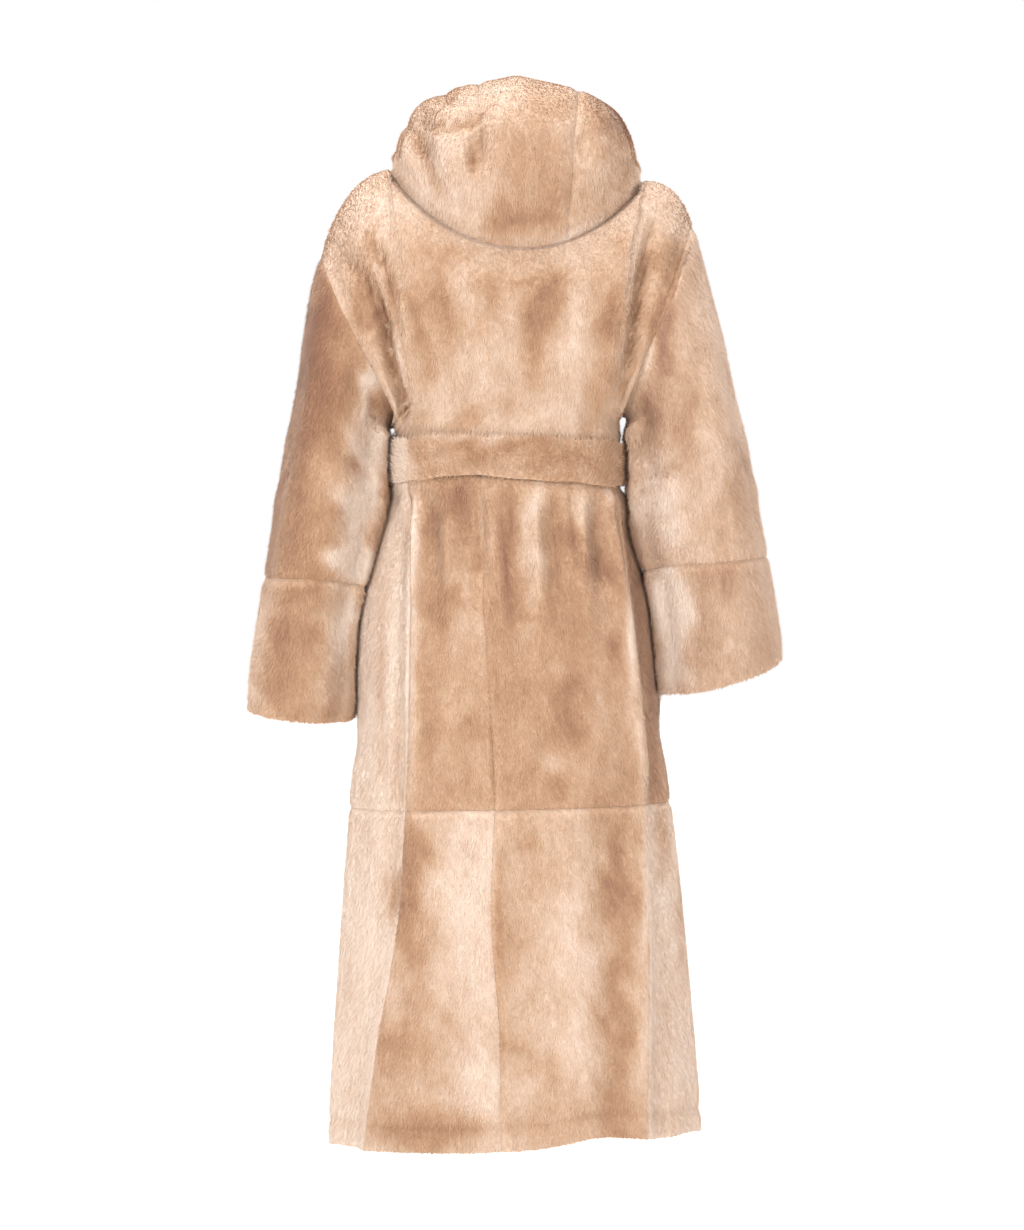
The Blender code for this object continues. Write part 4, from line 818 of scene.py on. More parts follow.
def neck_point(angle):
    """A point of the neck seam. The angle is 0 at the back and grows towards the left."""
    angle = np.asarray(angle, float)
    x = NECK_MIDDLE + NECK_HALF_WIDTH * np.sin(angle)
    deep = np.abs(np.cos(angle))
    behind = np.cos(angle) > 0
    y = np.where(behind, NECK_BACK, -NECK_FRONT) * deep
    drop_behind = NECK_BACK_DROP * deep**NECK_BACK_POWER
    drop_in_front = NECK_FRONT_DROP * deep**NECK_FRONT_POWER
    z = NECK_SIDE_Z + NECK_TILT * (x - NECK_MIDDLE) - np.where(behind, drop_behind, drop_in_front)
    return np.stack([x, y, z], -1)


def armhole(side, name):
    return ARMHOLES[side][ARMHOLE_COLUMNS.index(name)]


def armhole_spot(side, name):
    """The top, the underarm or the crown of an armhole."""
    return np.array([armhole(side, name + "_x"), 0, armhole(side, name + "_z")])


def shoulder_seam(side, shares):
    """From the shoulder's end (0) to the neck seam (1)."""
    end = armhole_spot(side, "top")
    crown = armhole_spot(side, "crown")
    neck = neck_point(math.pi / 2 if side == "left" else -math.pi / 2)
    t = np.asarray(shares)[:, None]
    return end * (1 - t) ** 2 + crown * 2 * t * (1 - t) + neck * t * t


def armhole_point(side, angle, toward):
    """A point of the armhole, 0 at the shoulder's end and pi at the underarm."""
    angle = np.asarray(angle)[..., None]
    top = armhole_spot(side, "top")
    under = armhole_spot(side, "under")
    out = np.array([0, toward * armhole(side, "half_depth"), 0])
    return (top + under) / 2 + (top - under) / 2 * np.cos(angle) + out * np.sin(angle)


def bodice_edge(side, toward):
    """The side seam from the waist up, then the armhole up to the shoulder's end."""
    share = np.linspace(0, 1, SIDE_ROWS + 1)
    under_z = armhole(side, "under_z")
    seam = np.zeros((SIDE_ROWS + 1, 3))
    seam[:, 0] = read(SIDE_SEAM, SIDE_SEAM_COLUMNS, "share", side, share)
    seam[:, 2] = WAIST_Z + (under_z - WAIST_Z) * share
    seam[-1, 0] = armhole(side, "under_x")
    angles = np.linspace(math.pi, 0, ARMHOLE_ROWS + 1)[1:]
    return np.concatenate([seam, armhole_point(side, angles, toward)])


def bodice_grid(toward):
    """The whole back (toward 1) or front (toward -1) wall, waist to neck, left side to right side."""
    count = BACK_STEPS if toward > 0 else FRONT_STEPS
    waist_turns = skirt_turns(np.array([WAIST_Z]))[0]
    behind = 2 * SHOULDER_STEPS + BACK_STEPS
    turns = waist_turns[: behind + 1] if toward > 0 else waist_turns[behind:][::-1]
    bottom = ring_point(np.full(len(turns), WAIST_Z), turns)
    angles = np.linspace(math.pi / 2, -math.pi / 2, count + 1)
    if toward < 0:
        angles = math.pi - angles
    shares = np.linspace(0, 1, SHOULDER_STEPS + 1)
    top = np.concatenate([
        shoulder_seam("left", shares)[:-1],
        neck_point(angles),
        shoulder_seam("right", shares)[::-1][1:],
    ])
    left = bodice_edge("left", toward)
    right = bodice_edge("right", toward)
    across = (bottom[:, 0] + top[:, 0]) / 2
    u = ((across - across[0]) / (across[-1] - across[0]))[None, :, None]
    v = np.linspace(0, 1, len(left))[:, None, None]
    grid = (1 - v) * bottom + v * top + (1 - u) * left[:, None] + u * right[:, None]
    grid -= (1 - v) * ((1 - u) * bottom[0] + u * bottom[-1]) + v * ((1 - u) * top[0] + u * top[-1])
    # Each row rises by the same share of the way as its two edges, so no row crosses the next.
    at_left, at_right = [
        (edge[:, None, 2] - edge[0, 2]) / (edge[-1, 2] - edge[0, 2]) for edge in (left, right)
    ]
    height = (1 - u[..., 0]) * at_left + u[..., 0] * at_right
    grid[..., 2] = bottom[:, 2] + (top[:, 2] - bottom[:, 2]) * height
    # The depth of each row is a rounded arch from its left edge to its right edge.
    middle = read(BODICE, BODICE_COLUMNS, "share", "back" if toward > 0 else "front", height)
    share = 2 * (grid[..., 0] - left[:, None, 0]) / (right[:, None, 0] - left[:, None, 0]) - 1
    square = SQUARENESS + CHEST_SQUARENESS * ease(height / CHEST_SHARE)
    arch = (1 - np.clip(np.abs(share), 0, 1) ** square) ** (1 / square)
    sides = left[:, None, 1] * (1 - u[..., 0]) + right[:, None, 1] * u[..., 0]
    depth = sides + (middle - sides) * arch
    at_top = v[..., 0] ** TOP_BLEND
    grid[..., 1] = depth * (1 - at_top) + top[None, :, 1] * at_top
    grid[0] = bottom
    grid[-1] = top
    grid[:, 0] = left
    grid[:, -1] = right
    upright = ease((UPRIGHT_ROWS + FINER - np.arange(len(left))) / FINER)[:, None, None]
    grid[..., :2] += (bottom[:, :2] - grid[..., :2]) * upright
    return grid


# ---- Sleeves

def sleeve_loop(side):
    """The armhole as a closed loop, up the back and down the front."""
    up = armhole_point(side, np.linspace(math.pi, 0, ARMHOLE_ROWS + 1), 1)
    down = armhole_point(side, np.linspace(0, math.pi, ARMHOLE_ROWS + 1), -1)
    return np.concatenate([up, down[1:-1]])


def sleeve_grid(side):
    """Rows from the armhole to the cuff, and the row at which the lower piece starts."""
    loop = sleeve_loop(side)
    table = SLEEVES[side]
    stations = np.arange(1, len(table) + 1)
    start = dict(
        outer_x=armhole(side, "top_x"),
        outer_z=armhole(side, "top_z"),
        inner_x=armhole(side, "under_x"),
        inner_z=armhole(side, "under_z"),
        middle=0,
        half_depth=armhole(side, "half_depth"),
        back_drop=0,
    )
    seam = SLEEVE_SEAM_STATION[side]
    upper_rows = round(SLEEVE_ROWS * seam / len(table))
    where = np.concatenate([
        np.linspace(0, seam, upper_rows + 1),
        np.linspace(seam, len(table), SLEEVE_ROWS - upper_rows + 1)[1:],
    ])

    def along(name):
        values = np.concatenate([[start[name]], column(table, SLEEVE_COLUMNS, name)])
        return smooth(np.concatenate([[0], stations]), values, where)[:, None]

    round_angle = np.linspace(math.pi, -math.pi, 2 * ARMHOLE_ROWS + 1)[:-1]
    lengthwise = np.cos(round_angle)[None]
    sideways = np.sin(round_angle)[None]
    grid = np.zeros((len(where), len(round_angle), 3))
    for axis, name in ((0, "x"), (2, "z")):
        outside = along("outer_" + name)
        inside = along("inner_" + name)
        grid[..., axis] = (outside + inside) / 2 + (outside - inside) / 2 * lengthwise
    grid[..., 1] = along("middle") + along("half_depth") * sideways
    grid[..., 2] -= along("back_drop") * sideways
    grid[0] = loop
    return grid, upper_rows


# ---- Hood

def hood_angles():
    """The neck angles of the hood's columns, from its left front corner over the back to the right."""
    step = math.pi / FRONT_STEPS
    left = math.pi / 2 + step * np.arange(HOOD_FRONT_STEPS, 0, -1)
    back = np.linspace(math.pi / 2, -math.pi / 2, BACK_STEPS + 1)
    return np.concatenate([left, back, -left[::-1]])


def hood_shares():
    """How far along the face edge each rib of the hood ends."""
    return np.linspace(0, 1, 2 * HOOD_FRONT_STEPS + BACK_STEPS + 1)


def hood_grid():
    """Ribs from the neck seam up over the head to the face edge, one for each column."""
    angles = hood_angles()
    neck = neck_point(angles)
    share = hood_shares()
    half = np.minimum(share, 1 - share)
    side = np.where(share < 0.5, 1.0, -1.0)
    x, y, z = [read(FACE_EDGE, FACE_EDGE_COLUMNS, "share", name, half) for name in ("x", "y", "z")]
    edge = np.stack([NECK_MIDDLE + side * x, y, z], -1)
    up = np.linspace(0, 1, HOOD_ROWS + 1)
    y, z = [read(PROFILE, PROFILE_COLUMNS, "share", name, up) for name in ("y", "z")]
    profile = np.stack([0 * up, y, z], -1)
    rise = profile - (profile[:1] * (1 - up[:, None]) + profile[-1:] * up[:, None])
    full = 1 - np.abs(2 * share - 1) ** 2
    fullness = np.stack([full, full**HOOD_SIDE_POWER, full], -1)
    grid = neck[None] * (1 - up[:, None, None]) + edge[None] * up[:, None, None]
    grid += rise[:, None] * fullness[None]
    bulge = HOOD_BULGE * np.sin(math.pi * up[:, None]).clip(0) ** HOOD_BULGE_POWER
    grid[..., 0] += bulge * np.sin(angles)[None]
    return grid


# ---- Folds, creases and thickness

def by_face(table, columns):
    """The rows of a part's table by name, each with the face of the coat it belongs to."""
    for face, rows in table.items():
        for row in rows:
            yield face, dict(zip(columns, row))


def fold_height(points, normals, part):
    """How far the large folds of a part move its points out."""
    height = np.zeros(points.shape[:-1])
    for face, fold in by_face(FOLDS[part], FOLD_COLUMNS):
        towards = np.array(FACES[face])
        across = points[..., 0] if face in ("back", "front") else points[..., 1]
        length = fold["z_top"] - fold["z_bottom"]
        down = (fold["z_top"] - points[..., 2]) / length
        line = fold["at_top"] + (fold["at_bottom"] - fold["at_top"]) * np.clip(down, 0, 1)
        fade = FOLD_FADE / length
        ends = ease((down + fade) / (2 * fade)) * ease((1 + fade - down) / (2 * fade))
        seen = ease((normals[..., :2] @ towards) * FOLD_SEEN)
        height += fold["height"] * ends * seen * np.exp(-(((across - line) / fold["width"]) ** 2))
    return height


def as_seen(points):
    """x and z of points as the eye behind the coat sees them, on the plane through its middle."""
    nearer = EYE_DISTANCE / (EYE_DISTANCE - points[..., 1])
    return points[..., 0] * nearer, EYE_Z + (points[..., 2] - EYE_Z) * nearer


def crease_height(points, normals, part):
    """How far the finer creases of a part move its points out."""
    height = np.zeros(points.shape[:-1])
    seen_x, seen_z = as_seen(points)
    for face, crease in by_face(CREASES[part], CREASE_COLUMNS):
        if face in ("back", "outline"):
            across, z = seen_x, seen_z
        else:
            across, z = points[..., 0] if face == "front" else points[..., 1], points[..., 2]
        start = np.array([crease["at_start"], crease["z_start"]])
        way = np.array([crease["at_end"], crease["z_end"]]) - start
        along = ((across - start[0]) * way[0] + (z - start[1]) * way[1]) / (way @ way)
        along = np.clip(along, 0, 1)
        off = np.hypot(across - start[0] - along * way[0], z - start[1] - along * way[1])
        taper = CREASE_END_DEPTH + (1 - CREASE_END_DEPTH) * np.sin(math.pi * along)
        seen = 1.0 if face == "outline" else ease((normals[..., :2] @ np.array(FACES[face])) * FOLD_SEEN)
        deep = crease["height"] * seen * taper * np.exp(-((off / crease["width"]) ** 2))
        # Creases that meet end to end count once where they join.
        larger = np.sign(deep) * np.maximum(np.abs(deep), np.abs(height))
        height = np.where(np.sign(deep) * np.sign(height) > 0, larger, height + deep)
    return height


def ear_height(points):
    return EAR_HEIGHT * np.exp(-((np.linalg.norm(points - np.array(EAR), axis=-1) / EAR_RADIUS) ** 2))


def proud_edges(points):
    """The back panel's two long edges stand out, and the side panels sink next to them."""
    z = points[..., 2]
    height = np.zeros(z.shape)
    for name, outward in (("left_seam", 1), ("right_seam", -1)):
        past = (points[..., 0] - NEARER * section(name, z)) * outward
        proud = PROUD_EDGE * np.exp(-(((past + PROUD_DISTANCE) / EDGE_WIDTH) ** 2))
        sunk = SUNK_SIDE * np.exp(-(((past - SUNK_DISTANCE) / EDGE_WIDTH) ** 2))
        height += np.where(points[..., 1] > 0, proud - sunk, 0)
    return height * ease((BELT_FOOT_Z - z) / EDGE_START)


def fullness_at_belt(points, part):
    """How far the coat stands out just above or below the belt, but not where the fronts lap."""
    if part not in DRAWN_IN:
        return np.zeros(points.shape[:-1])
    above, width, height = DRAWN_IN[part]
    off = points[..., 2] - BELT_Z - BELT_TILT * points[..., 0] - above
    in_front = ease(-points[..., 1] / LAP_FADE)
    lapped = ease((LAP_REACH - np.abs(points[..., 0] - LAP_MIDDLE)) / LAP_FADE) * in_front
    return height * (1 - lapped) * np.exp(-((off / width) ** 2))


def point_keys(grid, lift):
    """A key for each point, the same for two pieces that meet in it."""
    keys = np.concatenate([np.round(grid * KEYS_PER_MM), np.round(lift * LIFT_KEYS_PER_MM)[..., None]], -1)
    return [tuple(key) for key in keys.reshape(-1, 4).astype(int)]


def own_normals(grid, closed, outward):
    """The unit normals of one grid of points."""
    following = np.roll(grid, -1, 1) if closed else grid[:, 1:]
    here = grid if closed else grid[:, :-1]
    face = outward * np.cross(following[1:] - here[:-1], here[1:] - following[:-1])
    corner = np.zeros(grid.shape)
    rows, steps = face.shape[:2]
    for row in (0, 1):
        corner[row : row + rows, :steps] += face
        if closed:
            corner[row : row + rows] += np.roll(face, 1, 1)
        else:
            corner[row : row + rows, 1 : steps + 1] += face
    return unit(corner)


def shared_normals(pieces, shapes, lifts, bases):
    """Outward normals that pieces share where they meet, with each part of the coat counted once."""
    by_part = {}
    keys = {}
    for name, piece in pieces.items():
        keys[name] = point_keys(bases[name], lifts[name])
        normals = own_normals(shapes[name], piece["closed"], piece["outward"])
        for key, vector in zip(keys[name], normals.reshape(-1, 3)):
            parts = by_part.setdefault(key, {})
            parts[piece["part"]] = parts.get(piece["part"], 0) + vector
    total = {key: sum(unit(v) for v in parts.values()) for key, parts in by_part.items()}
    return {
        name: unit(np.array([total[key] for key in keys[name]]).reshape(shapes[name].shape))
        for name in pieces
    }


def seam_calm(grid, part, distance):
    """Folds fade out at the armholes and the neck seam, where parts share their points."""
    loops = {
        "bodice": (sleeve_loop("left"), sleeve_loop("right"), neck_point(hood_angles())),
        "sleeve_left": (sleeve_loop("left"),),
        "sleeve_right": (sleeve_loop("right"),),
        "hood": (neck_point(hood_angles()),),
        "skirt": (),
    }[part]
    away = np.full(grid.shape[:2], distance)
    for loop in loops:
        for point in loop:
            away = np.minimum(away, np.linalg.norm(grid - point, axis=-1))
    return ease(away / distance)


def coat_pieces():
    """The outer points of every coat piece before folds, with its part, its edges and which way is out."""
    under_belt = (BELT_FOOT_Z - WAIST_Z) / (TIER_Z - WAIST_Z)
    upper_rows = np.concatenate([
        np.linspace(0, under_belt, FINER + 1)[:-1],
        np.linspace(under_belt, 1, UPPER_TIER_ROWS),
    ])
    upper = skirt_grid(waist_edge, tier_edge, upper_rows)
    lower = skirt_grid(tier_edge, hem_edge, np.linspace(0, 1, LOWER_TIER_ROWS + 1))
    back = bodice_grid(1)
    front = bodice_grid(-1)
    hood = hood_grid()
    last = SHOULDER_STEPS + BACK_STEPS
    side = last + 2 * SHOULDER_STEPS
    past_centre = FRONT_STEPS // 2 + LAP_STEPS // 2
    full_lap = FRONT_STEPS // 2 - LAP_STEPS // 2
    pieces = {}

    def add(name, grid, part, outward, free="", closed=False, lift=None):
        rise = np.zeros(grid.shape[:2]) if lift is None else np.broadcast_to(lift, grid.shape[:2])
        pieces[name] = dict(grid=grid, part=part, outward=outward, free=free, closed=closed, lift=rise)

    right_lap = LAP_LIFT * ease(np.arange(past_centre + 1) / full_lap)
    for tier, grid, hem in (("upper", upper, ""), ("lower", lower, "end ")):
        centre = SHOULDER_STEPS + CENTRE_SEAM_STEP
        round_left = np.concatenate([grid[:, -1 - SHOULDER_STEPS : -1], grid[:, : SHOULDER_STEPS + 1]], 1)
        front_right = grid[:, side : side + past_centre + 1]
        front_left = grid[:, side + FRONT_STEPS - past_centre : -SHOULDER_STEPS]
        add("skirt_back_left_" + tier, grid[:, SHOULDER_STEPS : centre + 1], "skirt", -1, hem)
        add("skirt_back_right_" + tier, grid[:, centre : last + 1], "skirt", -1, hem)
        add("skirt_side_right_" + tier, grid[:, last : side + 1], "skirt", -1, hem)
        add("skirt_side_left_" + tier, round_left, "skirt", -1, hem)
        add("skirt_front_right_" + tier, front_right, "skirt", -1, hem + "right", lift=right_lap[None])
        add("skirt_front_left_" + tier, front_left, "skirt", -1, hem + "left")
    add("bodice_back", back, "bodice", 1)
    reach = SHOULDER_STEPS + past_centre
    bodice_lap = np.zeros(reach + 1)
    bodice_lap[: past_centre + 1] = right_lap[::-1]
    add("bodice_front_left", front[:, : reach + 1], "bodice", -1, "right")
    add("bodice_front_right", front[:, -reach - 1 :], "bodice", -1, "left", lift=bodice_lap[None])
    for arm, outward in (("left", 1), ("right", -1)):
        grid, seam = sleeve_grid(arm)
        add("sleeve_%s_upper" % arm, grid[: seam + 1], "sleeve_" + arm, outward, closed=True)
        add("sleeve_%s_lower" % arm, grid[seam:], "sleeve_" + arm, outward, "end", closed=True)
    first, second = (HOOD_FRONT_STEPS + step for step in GUSSET_STEPS)
    hood_lap = np.zeros(hood.shape[1])
    hood_lap[-HOOD_FRONT_STEPS - 1 :] = LAP_LIFT * ease(np.arange(HOOD_FRONT_STEPS + 1) / full_lap)
    settling = ease(1 - np.linspace(0, 1, hood.shape[0]) / HOOD_LAP_SHARE)[:, None]
    add("hood_left", hood[:, : first + 1], "hood", 1, "end left")
    add("hood_center", hood[:, first : second + 1], "hood", 1, "end")
    hood_lap = (settling * hood_lap[None])[:, second:]
    add("hood_right", hood[:, second:], "hood", 1, "end right", lift=hood_lap)
    return pieces


def edge_distances(grid):
    """How far each point is from the start row, the end row, the left column and the right column."""
    down = np.linalg.norm(np.diff(grid, axis=0), axis=-1)
    along = np.linalg.norm(np.diff(grid, axis=1), axis=-1)
    from_start = np.concatenate([np.zeros((1, grid.shape[1])), np.cumsum(down, 0)])
    from_left = np.concatenate([np.zeros((grid.shape[0], 1)), np.cumsum(along, 1)], 1)
    return {
        "start": from_start,
        "end": from_start[-1:] - from_start,
        "left": from_left,
        "right": from_left[:, -1:] - from_left,
    }


def seam_distance(piece, grid):
    """How far each point is from the piece's nearest sewn edge."""
    nearest = np.full(grid.shape[:2], np.inf)
    for edge, distance in edge_distances(grid).items():
        if edge in piece["free"].split() or (piece["closed"] and edge in ("left", "right")):
            continue
        nearest = np.minimum(nearest, distance)
    return nearest


def away_from_edge(edge, inner, closed):
    """Unit moves from an edge into its piece, square to the edge."""
    tangent = unit(np.roll(edge, -1, 0) - np.roll(edge, 1, 0) if closed else np.gradient(edge, axis=0))
    along = inner - edge
    return unit(along - (along * tangent).sum(-1, keepdims=True) * tangent)


def drawn_back(grid, closed, distance):
    """How far each edge point moves into its own piece, which leaves the seam's gap."""
    move = np.zeros(grid.shape)
    for edge, inner in ((0, 1), (-1, -2)):
        move[edge] += distance * away_from_edge(grid[edge], grid[inner], closed)
        if not closed:
            move[:, edge] += distance * away_from_edge(grid[:, edge], grid[:, inner], False)
    return move


def touching(name, points, normals):
    """How much each point is where the sleeves lie against the coat's sides."""
    kind = name.split("_")[0]
    if kind not in TOUCHING:
        return np.zeros(points.shape[:-1])
    starts, full, last, ends = TOUCHING[kind]
    z = points[..., 2]
    height = ease((starts - z) / (starts - full)) * ease((z - ends) / (last - ends))
    sideways = normals[..., 0] * (-1 if "left" in name else 1)
    facing = float("side" in name)
    if kind == "sleeve":
        facing = ease(sideways * TOUCHING_SEEN - TOUCHING_FROM)
    return height * facing


def meet(outer, normals):
    """Fills the sleeves out to the coat's sides and the belt, where they hang within reach of them."""
    band = belt_shell()
    belt = band["grid"] + band["out"][None] * BELT_FUR_ROOM
    touched = ("skirt_side", "skirt_back", "bodice")
    sides = [grid for name, grid in outer.items() if name.startswith(touched)]
    still = np.concatenate([grid.reshape(-1, 3) for grid in [*sides, belt]])
    for name in [name for name in outer if name.startswith("sleeve")]:
        grid = outer[name]
        weight = touching(name, grid, normals[name])
        reached = still[(still[:, 0] > 0) == ("left" in name)]
        for place in zip(*np.nonzero(weight)):
            away = np.sqrt(((reached - grid[place]) ** 2).sum(1).min())
            fade = ease((MEETING_REACH + MEETING_FADE - away) / MEETING_FADE)
            reach = max(0.0, min(away, MEETING_REACH) - MEETING_GAP)
            grid[place] += normals[name][place] * weight[place] * fade * reach


def coat_shells():
    """For every coat piece the leather's outer and inner points, its normals and its fur's length."""
    pieces = coat_pieces()
    bases = {name: piece["grid"] for name, piece in pieces.items()}
    lifts = {name: piece["lift"] for name, piece in pieces.items()}
    flat = {name: 0 * lift for name, lift in lifts.items()}
    normals = shared_normals(pieces, bases, flat, bases)
    outer = {}
    creased = {}
    for name, piece in pieces.items():
        grid = piece["grid"]
        height = fold_height(grid, normals[name], piece["part"])
        if piece["part"] == "skirt":
            height += proud_edges(grid)
        if piece["part"] == "hood":
            height += ear_height(grid)
        height *= seam_calm(grid, piece["part"], CALM_DISTANCE)
        height += fullness_at_belt(grid, piece["part"])
        calm = seam_calm(grid, piece["part"], CREASE_CALM)
        creased[name] = crease_height(grid, normals[name], piece["part"]) * calm
        outer[name] = grid + normals[name] * (height + creased[name] + piece["lift"])[..., None]
    meet(outer, normals)
    thick = shared_normals(pieces, outer, lifts, bases)
    shells = {}
    for name, piece in pieces.items():
        grid = outer[name]
        away = seam_distance(piece, grid)
        groove = np.exp(-((away / SEAM_GROOVE_WIDTH) ** 2))
        facing_up = np.clip(thick[name][..., 2], 0, 1)
        near = touching(name, grid, thick[name])
        deeper = FUR_ROOM + (TOUCHING_ROOM - FUR_ROOM) * near + SEAM_GROOVE * groove
        distances = edge_distances(grid)
        free = [distances[edge] for edge in piece["free"].split()]
        rim = np.exp(-((np.minimum.reduce(free) / TRIMMED_WIDTH) ** 2)) if free else 0 * away
        if piece["part"] == "hood":
            deeper -= NECK_ROLL * np.exp(-(((distances["start"] - NECK_ROLL_AT) / NECK_ROLL_WIDTH) ** 2))
        # The fur is painted darker in the sunken creases and, on the skirt's lower pieces, along the hem's
        # fold line: painted shade.
        shade = CREASE_SHADE * np.minimum(creased[name], 0)
        if name.startswith("skirt") and name.endswith("lower"):
            turned_up = np.exp(-(((distances["end"] - HEM_FOLD_AT) / HEM_FOLD_WIDTH) ** 2))
            deeper += HEM_FOLD_DEPTH * turned_up
            shade -= HEM_FOLD_SHADE * turned_up
        deeper = np.clip(deeper, LEAST_WALL, WALL - LEAST_WALL)
        back_off = drawn_back(grid, piece["closed"], SEAM_GAP / 2)
        shells[name] = dict(
            piece,
            outer=grid - thick[name] * deeper[..., None] + back_off,
            inner=grid - thick[name] * WALL + back_off,
            normal=thick[name],
            fur=(1 - (1 - SEAM_FUR_SHARE) * groove) * (1 - TRIMMED * rim) * (1 - WORN_SHORT * facing_up),
            lying=(1 - (1 - TOUCHING_COMB) * near) * (1 - TRIMMED * rim),
            shade=shade,
        )
    return shells


# ---- The light and dark patches where the fur lies one way and another, with painted light and shade among them

def row_for(table, name, otherwise):
    """The row whose key the name starts with."""
    return next((row for key, row in table.items() if name.startswith(key)), otherwise)


def nap_and_painted_light_of(name, points, normals, shade=0.0):
    """How light the fur is at each point, painted light and shade included, and how grey."""
    own, grey = row_for(TONES, name, TONES["belt"])
    x, z = as_seen(points)
    stray_x = 0 * x
    stray_z = 0 * x
    for reach, per_x, per_z, start in WANDER:
        stray_x += reach * np.sin(x * per_x + z * per_z + start)
        stray_z += reach * np.sin(z * per_x * WANDER_SLOWER - x * per_z + start * 2)
    light = np.full(points.shape[:-1], own)
    for row in row_for(PATCHES, name, ()):
        patch = dict(zip(PATCH_COLUMNS, row))
        wide = min(1.0, patch["half_width"] / WANDER_WIDTH) ** 2
        across = (x + wide * stray_x - patch["x"]) / patch["half_width"]
        down = (z + wide * stray_z - patch["z"]) / patch["half_height"]
        light += patch["lighter"] * np.exp(-((across**2 + down**2) ** PATCH_SHARPNESS))
    if "front" not in name and "side" not in name:
        light += (FAR_SIDE_TONE - own) * ease(-normals[..., 1] * FAR_SIDE_SEEN)
    return np.clip(light + shade, *NAP_RANGE), np.full(light.shape, grey)


# ---- Meshes

def keep(mesh, **values):
    """Keeps a number or a vector for each point of a mesh under every given name."""
    for name, rows in values.items():
        rows = np.ascontiguousarray(rows, np.float32)
        vector = rows.size > len(mesh.vertices)
        made = mesh.attributes.new(name, "FLOAT_VECTOR" if vector else "FLOAT", "POINT")
        made.data.foreach_set("vector" if vector else "value", rows.ravel())


def grid_faces(rows, steps, closed, first=0):
    """The corner indices of the faces between the points of a grid."""
    index = first + np.arange(rows * steps).reshape(rows, steps)
    following = np.roll(index, -1, 1) if closed else index[:, 1:]
    here = index if closed else index[:, :-1]
    return np.stack([here[:-1], following[:-1], following[1:], here[1:]], -1).reshape(-1, 4)


def rim_faces(rows, steps, closed, second):
    """The faces that join the edges of two equal grids, the second one's points starting at second."""
    index = np.arange(rows * steps).reshape(rows, steps)
    loops = [index[0], index[-1][::-1]]
    if closed:
        loops = [np.append(loop, loop[0]) for loop in loops]
    else:
        loops += [index[::-1, 0], index[:, -1]]
    faces = [np.stack([loop[1:], loop[:-1], loop[:-1] + second, loop[1:] + second], -1) for loop in loops]
    return np.concatenate(faces)


def outwards(points, faces):
    """The faces of a closed mesh, turned round if they point inwards."""
    a, b, c, d = (points[faces[:, corner]] for corner in range(4))
    return faces if (a * (np.cross(b, c) + np.cross(c, d))).sum() > 0 else faces[:, ::-1]


def new_mesh(name, points, faces, *materials):
    mesh = bpy.data.meshes.new(name)
    mesh.from_pydata((points * TO_METRES).tolist(), [], faces.tolist())
    mesh.update()
    for material in materials:
        mesh.materials.append(material)
    return mesh


def link(name, data):
    item = bpy.data.objects.new(name, data)
    bpy.context.scene.collection.objects.link(item)
    return item


def make_shell(name, shell, fur, suede):
    """A closed thin wall: fur side, leather side and the cut edges between them."""
    outer = shell["outer"]
    rows, steps = outer.shape[:2]
    count = rows * steps
    sheet = grid_faces(rows, steps, shell["closed"])
    back = grid_faces(rows, steps, shell["closed"], count)[:, ::-1]
    rims = rim_faces(rows, steps, shell["closed"], count)
    points = np.concatenate([outer.reshape(-1, 3), shell["inner"].reshape(-1, 3)])
    faces = outwards(points, np.concatenate([sheet, back, rims]))
    mesh = new_mesh(name, points, faces, fur, suede)
    side = np.zeros(len(faces), np.int32)
    side[len(sheet) : len(sheet) + len(back)] = 1
    mesh.polygons.foreach_set("material_index", side)
    light, grey = nap_and_painted_light_of(name, outer, shell["normal"], shell["shade"])
    keep(mesh, nap=np.tile(light.ravel(), 2), grey=np.tile(grey.ravel(), 2))
    mesh.shade_smooth()
    return link(name + "_hide", mesh)


# ---- Fur

def with_rims(shell, values, rim=None, share=1.0):
    """A piece's values with one more row or column at each free edge, where the fur goes round it."""
    free = shell["free"].split()
    for edge, axis, place in (("end", 0, -1), ("right", 1, -1), ("left", 1, 0)):
        if edge not in free:
            continue
        source = values if rim is None else rim
        added = np.take(source, [place], axis) * share
        values = np.concatenate([values, added] if place else [added, values], axis)
        if rim is not None:
            again = np.take(rim, [place], axis)
            rim = np.concatenate([rim, again] if place else [again, rim], axis)
    return values


